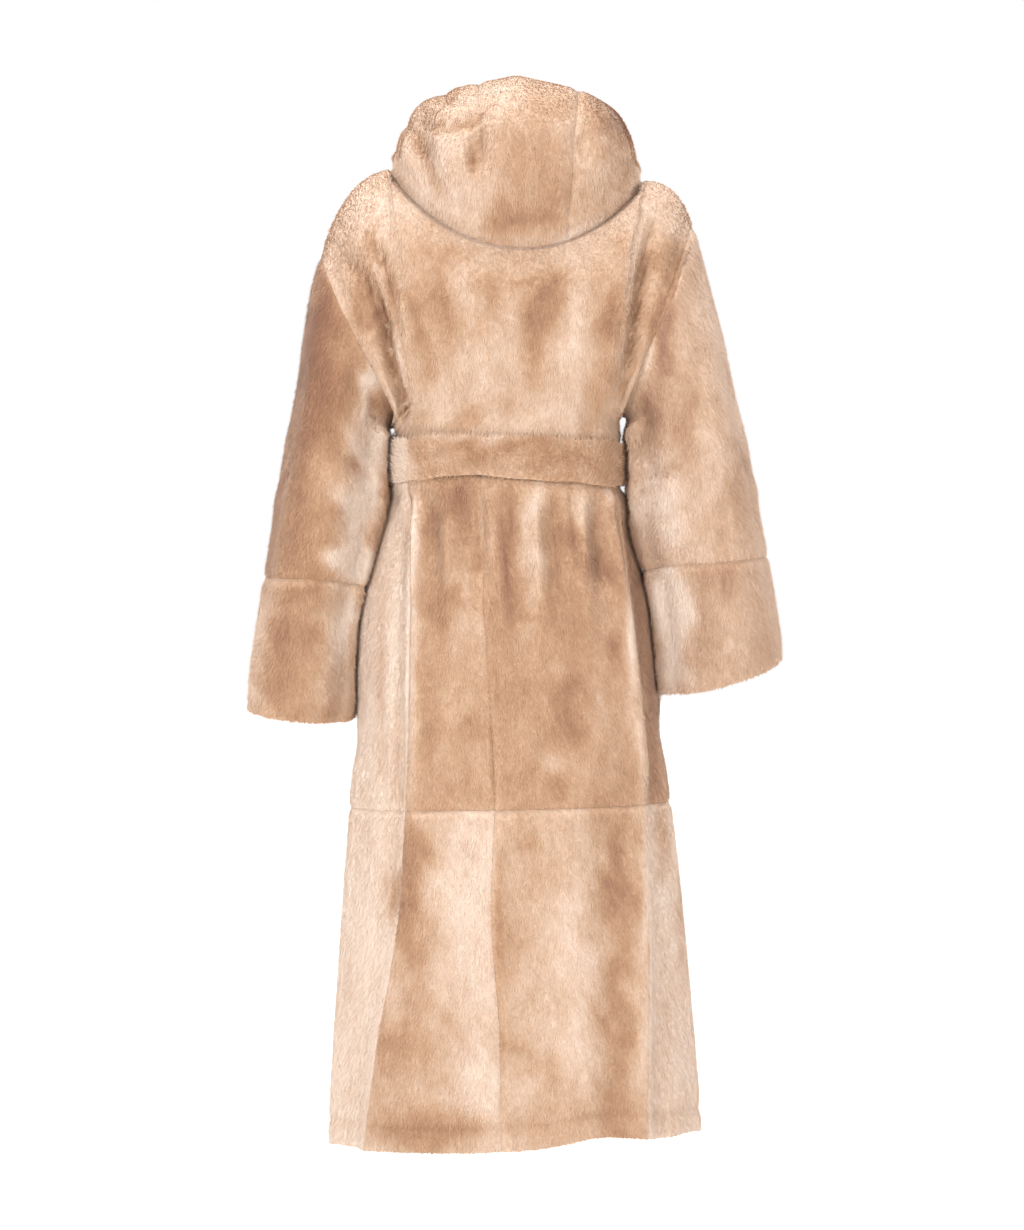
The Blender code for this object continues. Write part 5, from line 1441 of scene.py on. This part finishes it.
def make_skin(name, shells):
    """One mesh with the fur-bearing faces of several pieces, each in its own cell of the UV square."""
    side = math.ceil(math.sqrt(len(shells)))
    points = []
    faces = []
    kept = {label: [] for label in ("nap", "grey", "fur", "comb", "root_uv")}
    start = 0
    for place, (piece_name, shell) in enumerate(shells.items()):
        lying = unit(np.gradient(shell["outer"], axis=0)) * shell["lying"][..., None]
        if shell["part"] in ("bodice", "hood"):
            lying = -lying
        grid = with_rims(shell, shell["outer"], shell["inner"])
        rows, steps = grid.shape[:2]
        made = grid_faces(rows, steps, shell["closed"], start)
        faces.append(made if shell["outward"] > 0 else made[:, ::-1])
        points.append(grid.reshape(-1, 3))
        nap, ash = nap_and_painted_light_of(piece_name, shell["outer"], shell["normal"], shell["shade"])
        within = [np.linspace(CELL_EDGE, 1 - CELL_EDGE, count) for count in (steps, rows)]
        u, v = np.meshgrid(*within)
        values = dict(
            nap=with_rims(shell, nap),
            grey=with_rims(shell, ash),
            fur=with_rims(shell, shell["fur"], share=RIM_FUR),
            comb=with_rims(shell, lying, share=RIM_COMB),
            root_uv=np.stack([(place % side + u) / side, (place // side + v) / side, 0 * u], -1),
        )
        for label, value in values.items():
            kept[label].append(value.reshape(rows * steps, -1))
        start += rows * steps
    mesh = new_mesh(name, np.concatenate(points), np.concatenate(faces))
    keep(mesh, **{label: np.concatenate(value) for label, value in kept.items()})
    mesh.shade_smooth()
    return link(name, mesh)


def make_blade():
    """One blade of fur: a narrow triangle, one unit long, that faces +Y."""
    points = np.array([[0.5, 0, 0], [-0.5, 0, 0], [0, 0, 1]]) / TO_METRES
    mesh = new_mesh("fur_blade", points, np.array([[0, 1, 2]]))
    keep(mesh, tip=[0, 0, 1], blade_uv=np.array([[1, 0, 0], [-1, 0, 0], [0, 1, 0]]) * BLADE_UV)
    return bpy.data.objects.new("fur_blade", mesh)


class Tree:
    """Places nodes in a tree and joins them."""

    def __init__(self, tree):
        self.tree = tree

    def add(self, kind, settings=None, **sockets):
        """A new node with its settings, and its inputs by number or name, as values or as sockets."""
        made = self.tree.nodes.new(kind)
        for key, value in (settings or {}).items():
            setattr(made, key, value)
        for key, value in sockets.items():
            numbered = key[0] == "i" and key[1:].isdigit()
            socket = made.inputs[int(key[1:]) if numbered else key.replace("_", " ")]
            if isinstance(value, bpy.types.NodeSocket):
                self.join(value, socket)
            else:
                socket.default_value = value
        return made

    def named(self, name, kind):
        """The value or vector that a mesh keeps under a name, in a tree that works on it."""
        made = self.add("GeometryNodeInputNamedAttribute", {"data_type": kind}, Name=name)
        return made.outputs["Attribute"]

    def join(self, source, socket):
        self.tree.links.new(source, socket)

    def vector(self, operation, **sockets):
        return self.add("ShaderNodeVectorMath", {"operation": operation}, **sockets).outputs[0]

    def calc(self, operation, first, second):
        return self.add("ShaderNodeMath", {"operation": operation}, i0=first, i1=second).outputs[0]

    def random(self, low, high, seed):
        made = self.add("FunctionNodeRandomValue", {"data_type": "FLOAT"}, i2=low, i3=high, Seed=seed)
        return made.outputs[1]

    def spread(self, share, low, high):
        """A share of 0 to 1 as a value from low to high."""
        return self.add("ShaderNodeMapRange", i0=share, i1=0.0, i2=1.0, i3=low, i4=high).outputs[0]

    def noise(self, place, row):
        """The value of a noise texture with the scale, detail and roughness of a row."""
        settings = {name.title(): value for name, value in zip(NOISE_COLUMNS, row)}
        return self.add("ShaderNodeTexNoise", Vector=place, **settings).outputs[0]

    def worn(self, name):
        """The value that a mesh keeps under a name, in a material."""
        return self.add("ShaderNodeAttribute", {"attribute_name": name}).outputs["Fac"]


def pile_tree(blade, material):
    """The tree that grows fur blades on a skin."""
    tree = bpy.data.node_groups.new("sheared fur", "GeometryNodeTree")
    tree.interface.new_socket("Geometry", in_out="INPUT", socket_type="NodeSocketGeometry")
    for name, kind, value in (
        ("Blades per square metre", "NodeSocketFloat", BLADES_PER_SQUARE_METRE),
        ("Length", "NodeSocketFloat", BLADE_LENGTH * TO_METRES),
        ("Width", "NodeSocketFloat", BLADE_WIDTH * TO_METRES),
        ("Lean", "NodeSocketFloat", BLADE_LEAN),
        ("Stray", "NodeSocketFloat", BLADE_STRAY),
        ("Clumping", "NodeSocketFloat", BLADE_CLUMPING),
        ("Clumps per metre", "NodeSocketFloat", CLUMPS_PER_METRE),
        ("Seed", "NodeSocketInt", PILE_SEED),
    ):
        socket = tree.interface.new_socket(name, in_out="INPUT", socket_type=kind)
        socket.default_value = value
    tree.interface.new_socket("Geometry", in_out="OUTPUT", socket_type="NodeSocketGeometry")
    t = Tree(tree)
    given = t.add("NodeGroupInput").outputs
    spread = t.add(
        "GeometryNodeDistributePointsOnFaces",
        {"distribute_method": "RANDOM"},
        Mesh=given["Geometry"],
        Density=given["Blades per square metre"],
        Seed=given["Seed"],
    )
    normal = spread.outputs["Normal"]
    hair = t.random(0.0, 1.0, given["Seed"])
    kept_hair = t.add(
        "GeometryNodeStoreNamedAttribute",
        {"data_type": "FLOAT", "domain": "POINT"},
        Geometry=spread.outputs["Points"],
        Name="hair",
        Value=hair,
    )
    any_way = {"data_type": "FLOAT_VECTOR"}
    astray = t.add("FunctionNodeRandomValue", any_way, i0=(-1, -1, -1), i1=(1, 1, 1), Seed=STRAY_SEED)
    lying = t.vector("SCALE", i0=t.named("comb", "FLOAT_VECTOR"), Scale=given["Lean"])
    standing = t.vector("SCALE", i0=normal, Scale=t.calc("SUBTRACT", 1.0, given["Lean"]))
    wandering = t.vector("SCALE", i0=astray.outputs[0], Scale=given["Stray"])
    combed = t.vector("ADD", i0=lying, i1=standing)
    cloud = t.add("ShaderNodeTexNoise", Scale=given["Clumps per metre"], Detail=1.0).outputs["Color"]
    swirl = t.vector("SUBTRACT", i0=cloud, i1=(0.5, 0.5, 0.5))
    clumped = t.vector("SCALE", i0=swirl, Scale=given["Clumping"])
    strays = t.vector("ADD", i0=wandering, i1=clumped)
    way = t.vector("NORMALIZE", i0=t.vector("ADD", i0=combed, i1=strays))
    turned = t.add(
        "FunctionNodeAxesToRotation",
        {"primary_axis": "Z", "secondary_axis": "Y"},
        Primary_Axis=way,
        Secondary_Axis=normal,
    )
    length = t.calc("MULTIPLY", t.random(*BLADE_LENGTHS, LENGTH_SEED), given["Length"])
    length = t.calc("MULTIPLY", length, t.named("fur", "FLOAT"))
    size = t.add("ShaderNodeCombineXYZ", X=given["Width"], Y=given["Width"], Z=length)
    shape = t.add("GeometryNodeObjectInfo", Object=blade)
    placed = t.add(
        "GeometryNodeInstanceOnPoints",
        Points=kept_hair.outputs[0],
        Instance=shape.outputs["Geometry"],
        Rotation=turned.outputs[0],
        Scale=size.outputs[0],
    )
    real = t.add("GeometryNodeRealizeInstances", Geometry=placed.outputs[0])
    place = t.vector("ADD", i0=t.named("root_uv", "FLOAT_VECTOR"), i1=t.named("blade_uv", "FLOAT_VECTOR"))
    mapped = t.add(
        "GeometryNodeStoreNamedAttribute",
        {"data_type": "FLOAT2", "domain": "CORNER"},
        Geometry=real.outputs[0],
        Name="OFBake",
        Value=place,
    )
    finished = t.add("GeometryNodeSetMaterial", Geometry=mapped.outputs[0], Material=material)
    t.add("NodeGroupOutput", Geometry=finished.outputs[0])
    return tree


def grow_fur(name, skin, tree, settings):
    """Grows fur on a skin and keeps the blades alone, as a plain mesh."""
    modifier = skin.modifiers.new("fur", "NODES")
    modifier.node_group = tree
    for item in tree.interface.items_tree:
        if item.in_out == "INPUT" and item.name in settings:
            modifier[item.identifier] = settings[item.name]
    seen = skin.evaluated_get(bpy.context.evaluated_depsgraph_get())
    mesh = bpy.data.meshes.new_from_object(seen)
    mesh.name = name
    for label in ("comb", "root_uv", "blade_uv", "fur"):
        if label in mesh.attributes:
            mesh.attributes.remove(mesh.attributes[label])
    skin.modifiers.clear()
    bpy.data.objects.remove(skin)
    return link(name, mesh)


# ---- Materials

def colour_ramp(node, stops):
    ramp = node.color_ramp
    while len(ramp.elements) < len(stops):
        ramp.elements.new(0.5)
    for element, (place, colour) in zip(ramp.elements, stops):
        element.position = place
        element.color = (*colour, 1)


def fur_colour_group():
    """The fur's colour over the surface: patches of its lie with painted light and shade among them,
    brushed mottling, single hairs and painted shadow toward the roots.
    """
    tree = bpy.data.node_groups.new("fur colour", "ShaderNodeTree")
    for name in ("Nap", "Grey", "Mottling", "Hairs", "Root shade", "Tip"):
        tree.interface.new_socket(name, in_out="INPUT", socket_type="NodeSocketFloat")
    tree.interface.new_socket("Color", in_out="OUTPUT", socket_type="NodeSocketColor")
    tree.interface.new_socket("Height", in_out="OUTPUT", socket_type="NodeSocketFloat")
    t = Tree(tree)
    given = t.add("NodeGroupInput").outputs
    place = t.add("ShaderNodeTexCoord").outputs["Object"]
    stretched = t.add("ShaderNodeMapping", Vector=place, Scale=STRETCH).outputs[0]
    fine = t.noise(place, FINE_NOISE)
    noises = (t.noise(stretched, BROAD_NOISE), t.noise(stretched, MIDDLE_NOISE), fine)
    broad_swing, middle_swing, fine_swing = [
        t.calc("MULTIPLY", t.calc("SUBTRACT", noise, 0.5), strength)
        for noise, strength in zip(noises, NOISE_STRENGTHS)
    ]
    mottled = t.calc("MULTIPLY", t.calc("ADD", broad_swing, middle_swing), given["Mottling"])
    light = t.calc("ADD", t.calc("ADD", given["Nap"], mottled), fine_swing)
    light = t.calc("ADD", light, t.calc("MULTIPLY", given["Hairs"], HAIR_CONTRAST))
    share = t.add("ShaderNodeMapRange", i0=light, i1=-1.0, i2=1.0, i3=0.0, i4=1.0).outputs[0]
    ramp = t.add("ShaderNodeValToRGB", Fac=share)
    colour_ramp(ramp, FUR_COLOURS)
    mixed = {"data_type": "RGBA"}
    ash = t.add("ShaderNodeMix", mixed, i0=given["Grey"], i6=ramp.outputs[0], i7=(*GREY_FUR, 1)).outputs[2]
    # Painted shadow within the pile: darker toward the blades' roots, and the hide, which has no tips,
    # darker all over.
    shade = t.spread(given["Tip"], given["Root shade"], 1.0)
    mixed["blend_type"] = "MULTIPLY"
    shaded = t.add("ShaderNodeMix", mixed, i0=1.0, i6=ash, i7=shade).outputs[2]
    t.add("NodeGroupOutput", Color=shaded, Height=fine)
    return tree


def new_material(name, **values):
    """A new material with these values on its shader, its tree and the shader's inputs."""
    made = bpy.data.materials.new(name)
    made.use_nodes = True
    inputs = made.node_tree.nodes["Principled BSDF"].inputs
    for socket, value in values.items():
        inputs[socket.replace("_", " ")].default_value = value
    return made, Tree(made.node_tree), inputs


def fur_material(name, group, root_shade, on_blades):
    """Sheared fur, for the hide's fur side or for the blades on it."""
    made, t, inputs = new_material(
        name,
        Roughness=0.9,
        Specular_IOR_Level=0.15,
        Sheen_Weight=0.4,
        Sheen_Roughness=0.45,
        Sheen_Tint=(1.0, 0.93, 0.86, 1),
    )
    fur = t.add("ShaderNodeGroup", {"node_tree": group}, Nap=t.worn("nap"), Mottling=MOTTLING)
    t.join(t.calc("MULTIPLY", t.worn("grey"), GREY_SHARE), fur.inputs["Grey"])
    fur.inputs["Root shade"].default_value = root_shade
    if on_blades:
        t.join(t.calc("SUBTRACT", t.worn("hair"), 0.5), fur.inputs["Hairs"])
        t.join(t.worn("tip"), fur.inputs["Tip"])
    else:
        bump = t.add("ShaderNodeBump", Strength=0.5, Distance=0.002, Height=fur.outputs["Height"])
        t.join(bump.outputs[0], inputs["Normal"])
    t.join(fur.outputs["Color"], inputs["Base Color"])
    return made


def suede_material():
    """The leather side, a matt brushed tan."""
    made, t, inputs = new_material("suede", Roughness=0.92, Specular_IOR_Level=0.2, Sheen_Weight=0.2)
    place = t.add("ShaderNodeTexCoord").outputs["Object"]
    ramp = t.add("ShaderNodeValToRGB", Fac=t.noise(place, SUEDE_CLOUDS))
    colour_ramp(ramp, SUEDE_COLOURS)
    bump = t.add("ShaderNodeBump", Strength=0.35, Distance=0.0006, Height=t.noise(place, SUEDE_GRAIN))
    t.join(ramp.outputs[0], inputs["Base Color"])
    t.join(bump.outputs[0], inputs["Normal"])
    return made


# ---- The belt

def belt_front_lift(turns):
    """The belt runs over the lapped fronts, a little wider than the lap."""
    angle = np.degrees(turns)
    first, last = BELT_LIFT_STARTS
    rise, fall = BELT_LIFT_RUNS
    return (LAP_LIFT + BELT_LAP_ROOM) * ease((angle - first) / rise) * ease((last - angle) / fall)


def belt_shell():
    """The belt as a flat closed tube: rows run round its section and columns round the waist."""
    turns = skirt_turns(np.array([WAIST_Z]))[0][:-1]
    base = ring_point(np.full(len(turns), WAIST_Z), turns)
    along = np.roll(base, -1, 0) - np.roll(base, 1, 0)
    out = unit(np.stack([along[:, 1], -along[:, 0], 0 * along[:, 0]], -1))
    start = base + out * (BELT_CLEARANCE + belt_front_lift(turns))[:, None]
    start[:, 2] = BELT_Z + BELT_TILT * start[:, 0]
    droop = BELT_DROOP * ease((start[:, 0] - BELT_DROOP_FROM) / BELT_DROOP_RUN) + BELT_SAG
    start[:, 2] -= droop * ease(0.5 + start[:, 1] / BELT_DROOP_RUN)
    angle = np.linspace(0, 2 * math.pi, BELT_SECTION_STEPS + 1)[:-1]
    wavy = 1 + sum(height * np.sin(waves * turns + first) for waves, first, height in BELT_WAVES)
    up = (BELT_HALF_HEIGHT - BELT_TRIM) * signed_power(np.sin(angle), BELT_EDGE_POWER)[:, None] * wavy[None]
    middle = BELT_CORE / 2 + BELT_BACK_ROOM
    short, long = BELT_PUFF_WAVES
    puffed = 1 + BELT_PUFF * np.sin(short * turns) * np.sin(long * turns + 1)
    thick = middle + BELT_CORE / 2 * signed_power(np.cos(angle), BELT_EDGE_POWER)[:, None] * puffed[None]
    grid = start[None] + out[None] * thick[..., None] + np.array([0, 0, 1]) * up[..., None]
    return dict(grid=grid, angle=angle, out=out)


def make_belt(fur):
    """The band of the belt and the skin that its fur grows on."""
    made = belt_shell()
    grid = made["grid"]
    rows, steps = grid.shape[:2]
    ring = np.concatenate([grid, grid[:1]])
    faces = grid_faces(rows + 1, steps, True) % (rows * steps)
    points = grid.reshape(-1, 3)
    mesh = new_mesh("belt_band", points, outwards(points, faces), fur)
    normals = own_normals(ring, True, 1)
    light, grey = nap_and_painted_light_of("belt_band", grid, normals[:-1])
    keep(mesh, nap=light, grey=grey)
    mesh.shade_smooth()
    outside = np.cos(made["angle"])[:, None] + BELT_FUR_FROM
    length = np.clip(outside * BELT_FUR_RISE, *BELT_FUR_RANGE) * np.ones((1, steps))
    shell = dict(
        outer=ring,
        inner=ring,
        fur=np.concatenate([length, length[:1]]),
        normal=normals,
        part="belt",
        free="",
        closed=True,
        outward=1,
        lying=np.full(ring.shape[:2], BELT_COMB),
        shade=0.0,
    )
    return link("belt_band_hide", mesh), shell


def make_knot(fur):
    """The belt's knot: a full turn of the band over itself, with the grooves where it crosses."""
    bm = bmesh.new()
    bmesh.ops.create_cube(bm, size=2.0)
    bmesh.ops.subdivide_edges(bm, edges=bm.edges, cuts=KNOT_CUTS, use_grid_fill=True)
    middle_z = BELT_Z + BELT_TILT * KNOT_X
    size = np.array([KNOT_WIDTH / 2 - BELT_FUR_ROOM, KNOT_DEPTH / 2, KNOT_HEIGHT / 2 - BELT_FUR_ROOM])
    waist = np.array([WAIST_Z])
    share = np.abs(share_across(waist, KNOT_X))
    depth = section("front", waist) * (1 - share**SQUARENESS) ** (1 / SQUARENESS)
    face = depth[0] - BELT_CLEARANCE - LAP_LIFT - BELT_LAP_ROOM - BELT_THICKNESS
    forward = face - SEAM_GAP - KNOT_DEPTH / 2 + BELT_FUR_ROOM
    for vert in bm.verts:
        spot = np.array(vert.co)
        spot /= (np.abs(spot) ** KNOT_SQUARENESS).sum() ** (1 / KNOT_SQUARENESS)
        across = spot[0] * KNOT_SLANT[0] + spot[2] * KNOT_SLANT[1]
        off = (across - KNOT_GROOVES_AT, across + KNOT_GROOVES_AT)
        groove = sum(np.exp(-((away / KNOT_GROOVE_WIDTH) ** 2)) for away in off)
        deep = 1 - KNOT_GROOVE_DEPTH * groove * max(0.0, -spot[1])
        vert.co = (spot * size * deep + np.array([KNOT_X, forward, middle_z])) * TO_METRES
    bmesh.ops.recalc_face_normals(bm, faces=bm.faces)
    mesh = bpy.data.meshes.new("belt_knot")
    bm.to_mesh(mesh)
    bm.free()
    mesh.materials.append(fur)
    count = len(mesh.vertices)
    keep(mesh, nap=np.full(count, TONES["belt"][0]), grey=np.zeros(count))
    mesh.shade_smooth()
    return link("belt_knot_hide", mesh)


def knot_skin(knot):
    """A copy of the knot that fur grows on."""
    mesh = knot.data.copy()
    count = len(mesh.vertices)
    points = np.zeros(count * 3)
    mesh.vertices.foreach_get("co", points)
    points = points.reshape(-1, 3) / TO_METRES
    middle = (points.max(0) + points.min(0)) / 2
    size = (points.max(0) - points.min(0)) / 2
    turn = np.arctan2(points[:, 0] - middle[0], middle[1] - points[:, 1]) / (2 * math.pi) + 0.5
    up = (points[:, 2] - middle[2]) / size[2] / 2 + 0.5
    outside = points[:, 1] < middle[1] + KNOT_FUR_REACH
    keep(
        mesh,
        fur=KNOT_FUR * outside + KNOT_LEAST_FUR,
        comb=np.tile(KNOT_COMB, (count, 1)),
        root_uv=CELL_EDGE + (1 - 2 * CELL_EDGE) * np.stack([turn, up, 0 * up], -1),
    )
    return link("belt_knot_skin", mesh)


def end_shell(name, x_top, x_bottom):
    """A belt end that hangs on the right front from under the knot."""
    down = np.linspace(0, 1, END_ROWS + 1)
    spread = ease(down / END_TOP_RUN)[:, None]
    top_z = BELT_Z + BELT_TILT * KNOT_X - KNOT_HEIGHT / 2 - SEAM_GAP
    across = np.linspace(-0.5, 0.5, END_STEPS + 1)[None] * (END_WIDTH - BELT_FUR_ROOM)
    across = across * (END_TOP_WIDTH + (1 - END_TOP_WIDTH) * spread)
    x = (x_top + (x_bottom - x_top) * ease(down))[:, None] + across
    x -= np.sign(x_top - KNOT_X) * END_TOP_SHIFT * (1 - spread)
    z = (top_z - END_GAP - (END_LENGTH - BELT_FUR_ROOM) * down)[:, None] + 0 * across
    low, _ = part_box(name)
    y = np.zeros(x.shape)
    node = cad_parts[name]
    for place in np.ndindex(x.shape):
        start = (x[place] * TO_METRES, low[1] - 1.0, z[place] * TO_METRES)
        hit, spot, _, _ = node.ray_cast(start, (0.0, 1.0, 0.0))
        y[place] = spot[1] / TO_METRES if hit else np.nan
    y = np.where(np.isnan(y), np.nanmean(y, 1, keepdims=True), y)
    outer = np.stack([x, y + BELT_FUR_ROOM, z], -1)
    normal = own_normals(outer, False, 1)
    outward = 1 if normal[..., 1].mean() < 0 else -1
    return dict(
        outer=outer,
        inner=outer + np.array([0, END_THICKNESS, 0]),
        normal=normal * outward,
        fur=np.full(x.shape, END_FUR),
        lying=np.ones(x.shape),
        part="belt",
        free="end left right",
        closed=False,
        outward=outward,
        shade=0.0,
    )


# ---- Camera, light and floor

def look_at(item, place, target):
    item.location = place
    item.rotation_euler = (Vector(target) - Vector(place)).to_track_quat("-Z", "Y").to_euler()


def make_camera():
    data = bpy.data.cameras.new("camera")
    data.sensor_fit = "VERTICAL"
    data.sensor_height = SENSOR_HEIGHT
    data.lens = SENSOR_HEIGHT / 2 * EYE_DISTANCE / HALF_VIEW
    item = link("camera", data)
    middle = EYE_Z * TO_METRES
    look_at(item, (0.0, EYE_DISTANCE * TO_METRES, middle), (0.0, 0.0, middle))
    bpy.context.scene.camera = item


def make_light(name, place, size, power):
    data = bpy.data.lights.new(name, "AREA")
    data.shape = "DISK"
    data.size = size
    data.energy = power
    look_at(link(name, data), place, LAMPS_TOWARD)


def make_studio():
    world = bpy.data.worlds.new("studio")
    world.use_nodes = True
    sky = Tree(world.node_tree)
    seen = sky.add("ShaderNodeLightPath").outputs["Is Camera Ray"]
    backdrop = world.node_tree.nodes["Background"].inputs
    backdrop["Color"].default_value = (1, 1, 1, 1)
    sky.join(sky.spread(seen, SKY_LIGHT, SKY_SEEN), backdrop["Strength"])
    bpy.context.scene.world = world
    for name, place, size, power in LAMPS:
        make_light(name, place, size, power)
    made, t, inputs = new_material(
        "pale floor",
        Base_Color=(0.93, 0.93, 0.93, 1),
        Roughness=0.95,
        Specular_IOR_Level=0.1,
        Emission_Color=(1, 1, 1, 1),
    )
    seen = t.add("ShaderNodeLightPath").outputs["Is Camera Ray"]
    t.join(t.calc("MULTIPLY", seen, FLOOR_GLOW), inputs["Emission Strength"])
    corners = np.array([[-1, -1, 0], [1, -1, 0], [1, 1, 0], [-1, 1, 0]]) * FLOOR_HALF + [0, 0, FLOOR_Z]
    link("floor", new_mesh("floor", corners / TO_METRES, np.array([[0, 1, 2, 3]]), made))


# ---- Putting it together

def hang(item, node):
    """A finished piece stands for its solid and goes with the coat."""
    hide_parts(node)
    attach(item, "root")


def main():
    bpy.context.scene.view_settings.view_transform = "Standard"
    make_camera()
    make_studio()
    group = fur_colour_group()
    hide_fur = fur_material("fur side of the hide", group, ROOT_SHADES["hide"], False)
    pile_fur = fur_material("sheared fur", group, ROOT_SHADES["blades"], True)
    suede = suede_material()
    shells = coat_shells()
    hides = {name: make_shell(name, shell, hide_fur, suede) for name, shell in shells.items()}
    belt, belt_skin = make_belt(hide_fur)
    knot = make_knot(hide_fur)
    end_shells = {}
    for name, (x_top, x_bottom) in ENDS.items():
        end_shells[name] = end_shell(name, x_top, x_bottom)
        hides[name] = make_shell(name, end_shells[name], hide_fur, suede)
    names_by_pile = {
        pile: [name for name in shells if name.startswith(start) and name.endswith(end)]
        for pile, (start, end) in PILES.items()
    }
    skins = {}
    for pile, names in names_by_pile.items():
        skins[pile] = make_skin(pile, {name: shells[name] for name in names})
    skins["belt_pile"] = make_skin("belt_pile", {"belt_band": belt_skin, **end_shells})
    skins["belt_knot_pile"] = knot_skin(knot)
    blade = make_blade()
    tree = pile_tree(blade, pile_fur)
    bpy.context.view_layer.update()
    piles = {}
    for number, (name, skin) in enumerate(skins.items()):
        piles[name] = grow_fur(name, skin, tree, {"Seed": PILE_SEED + number})
    for name, hide in hides.items():
        hang(hide, name)
    hang(belt, "belt_band")
    hang(knot, "belt_knot")
    for pile in piles.values():
        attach(pile, "root")
    for name, shell in {**shells, **end_shells}.items():
        pile = [piles[pile] for pile, names in names_by_pile.items() if name in names]


main()
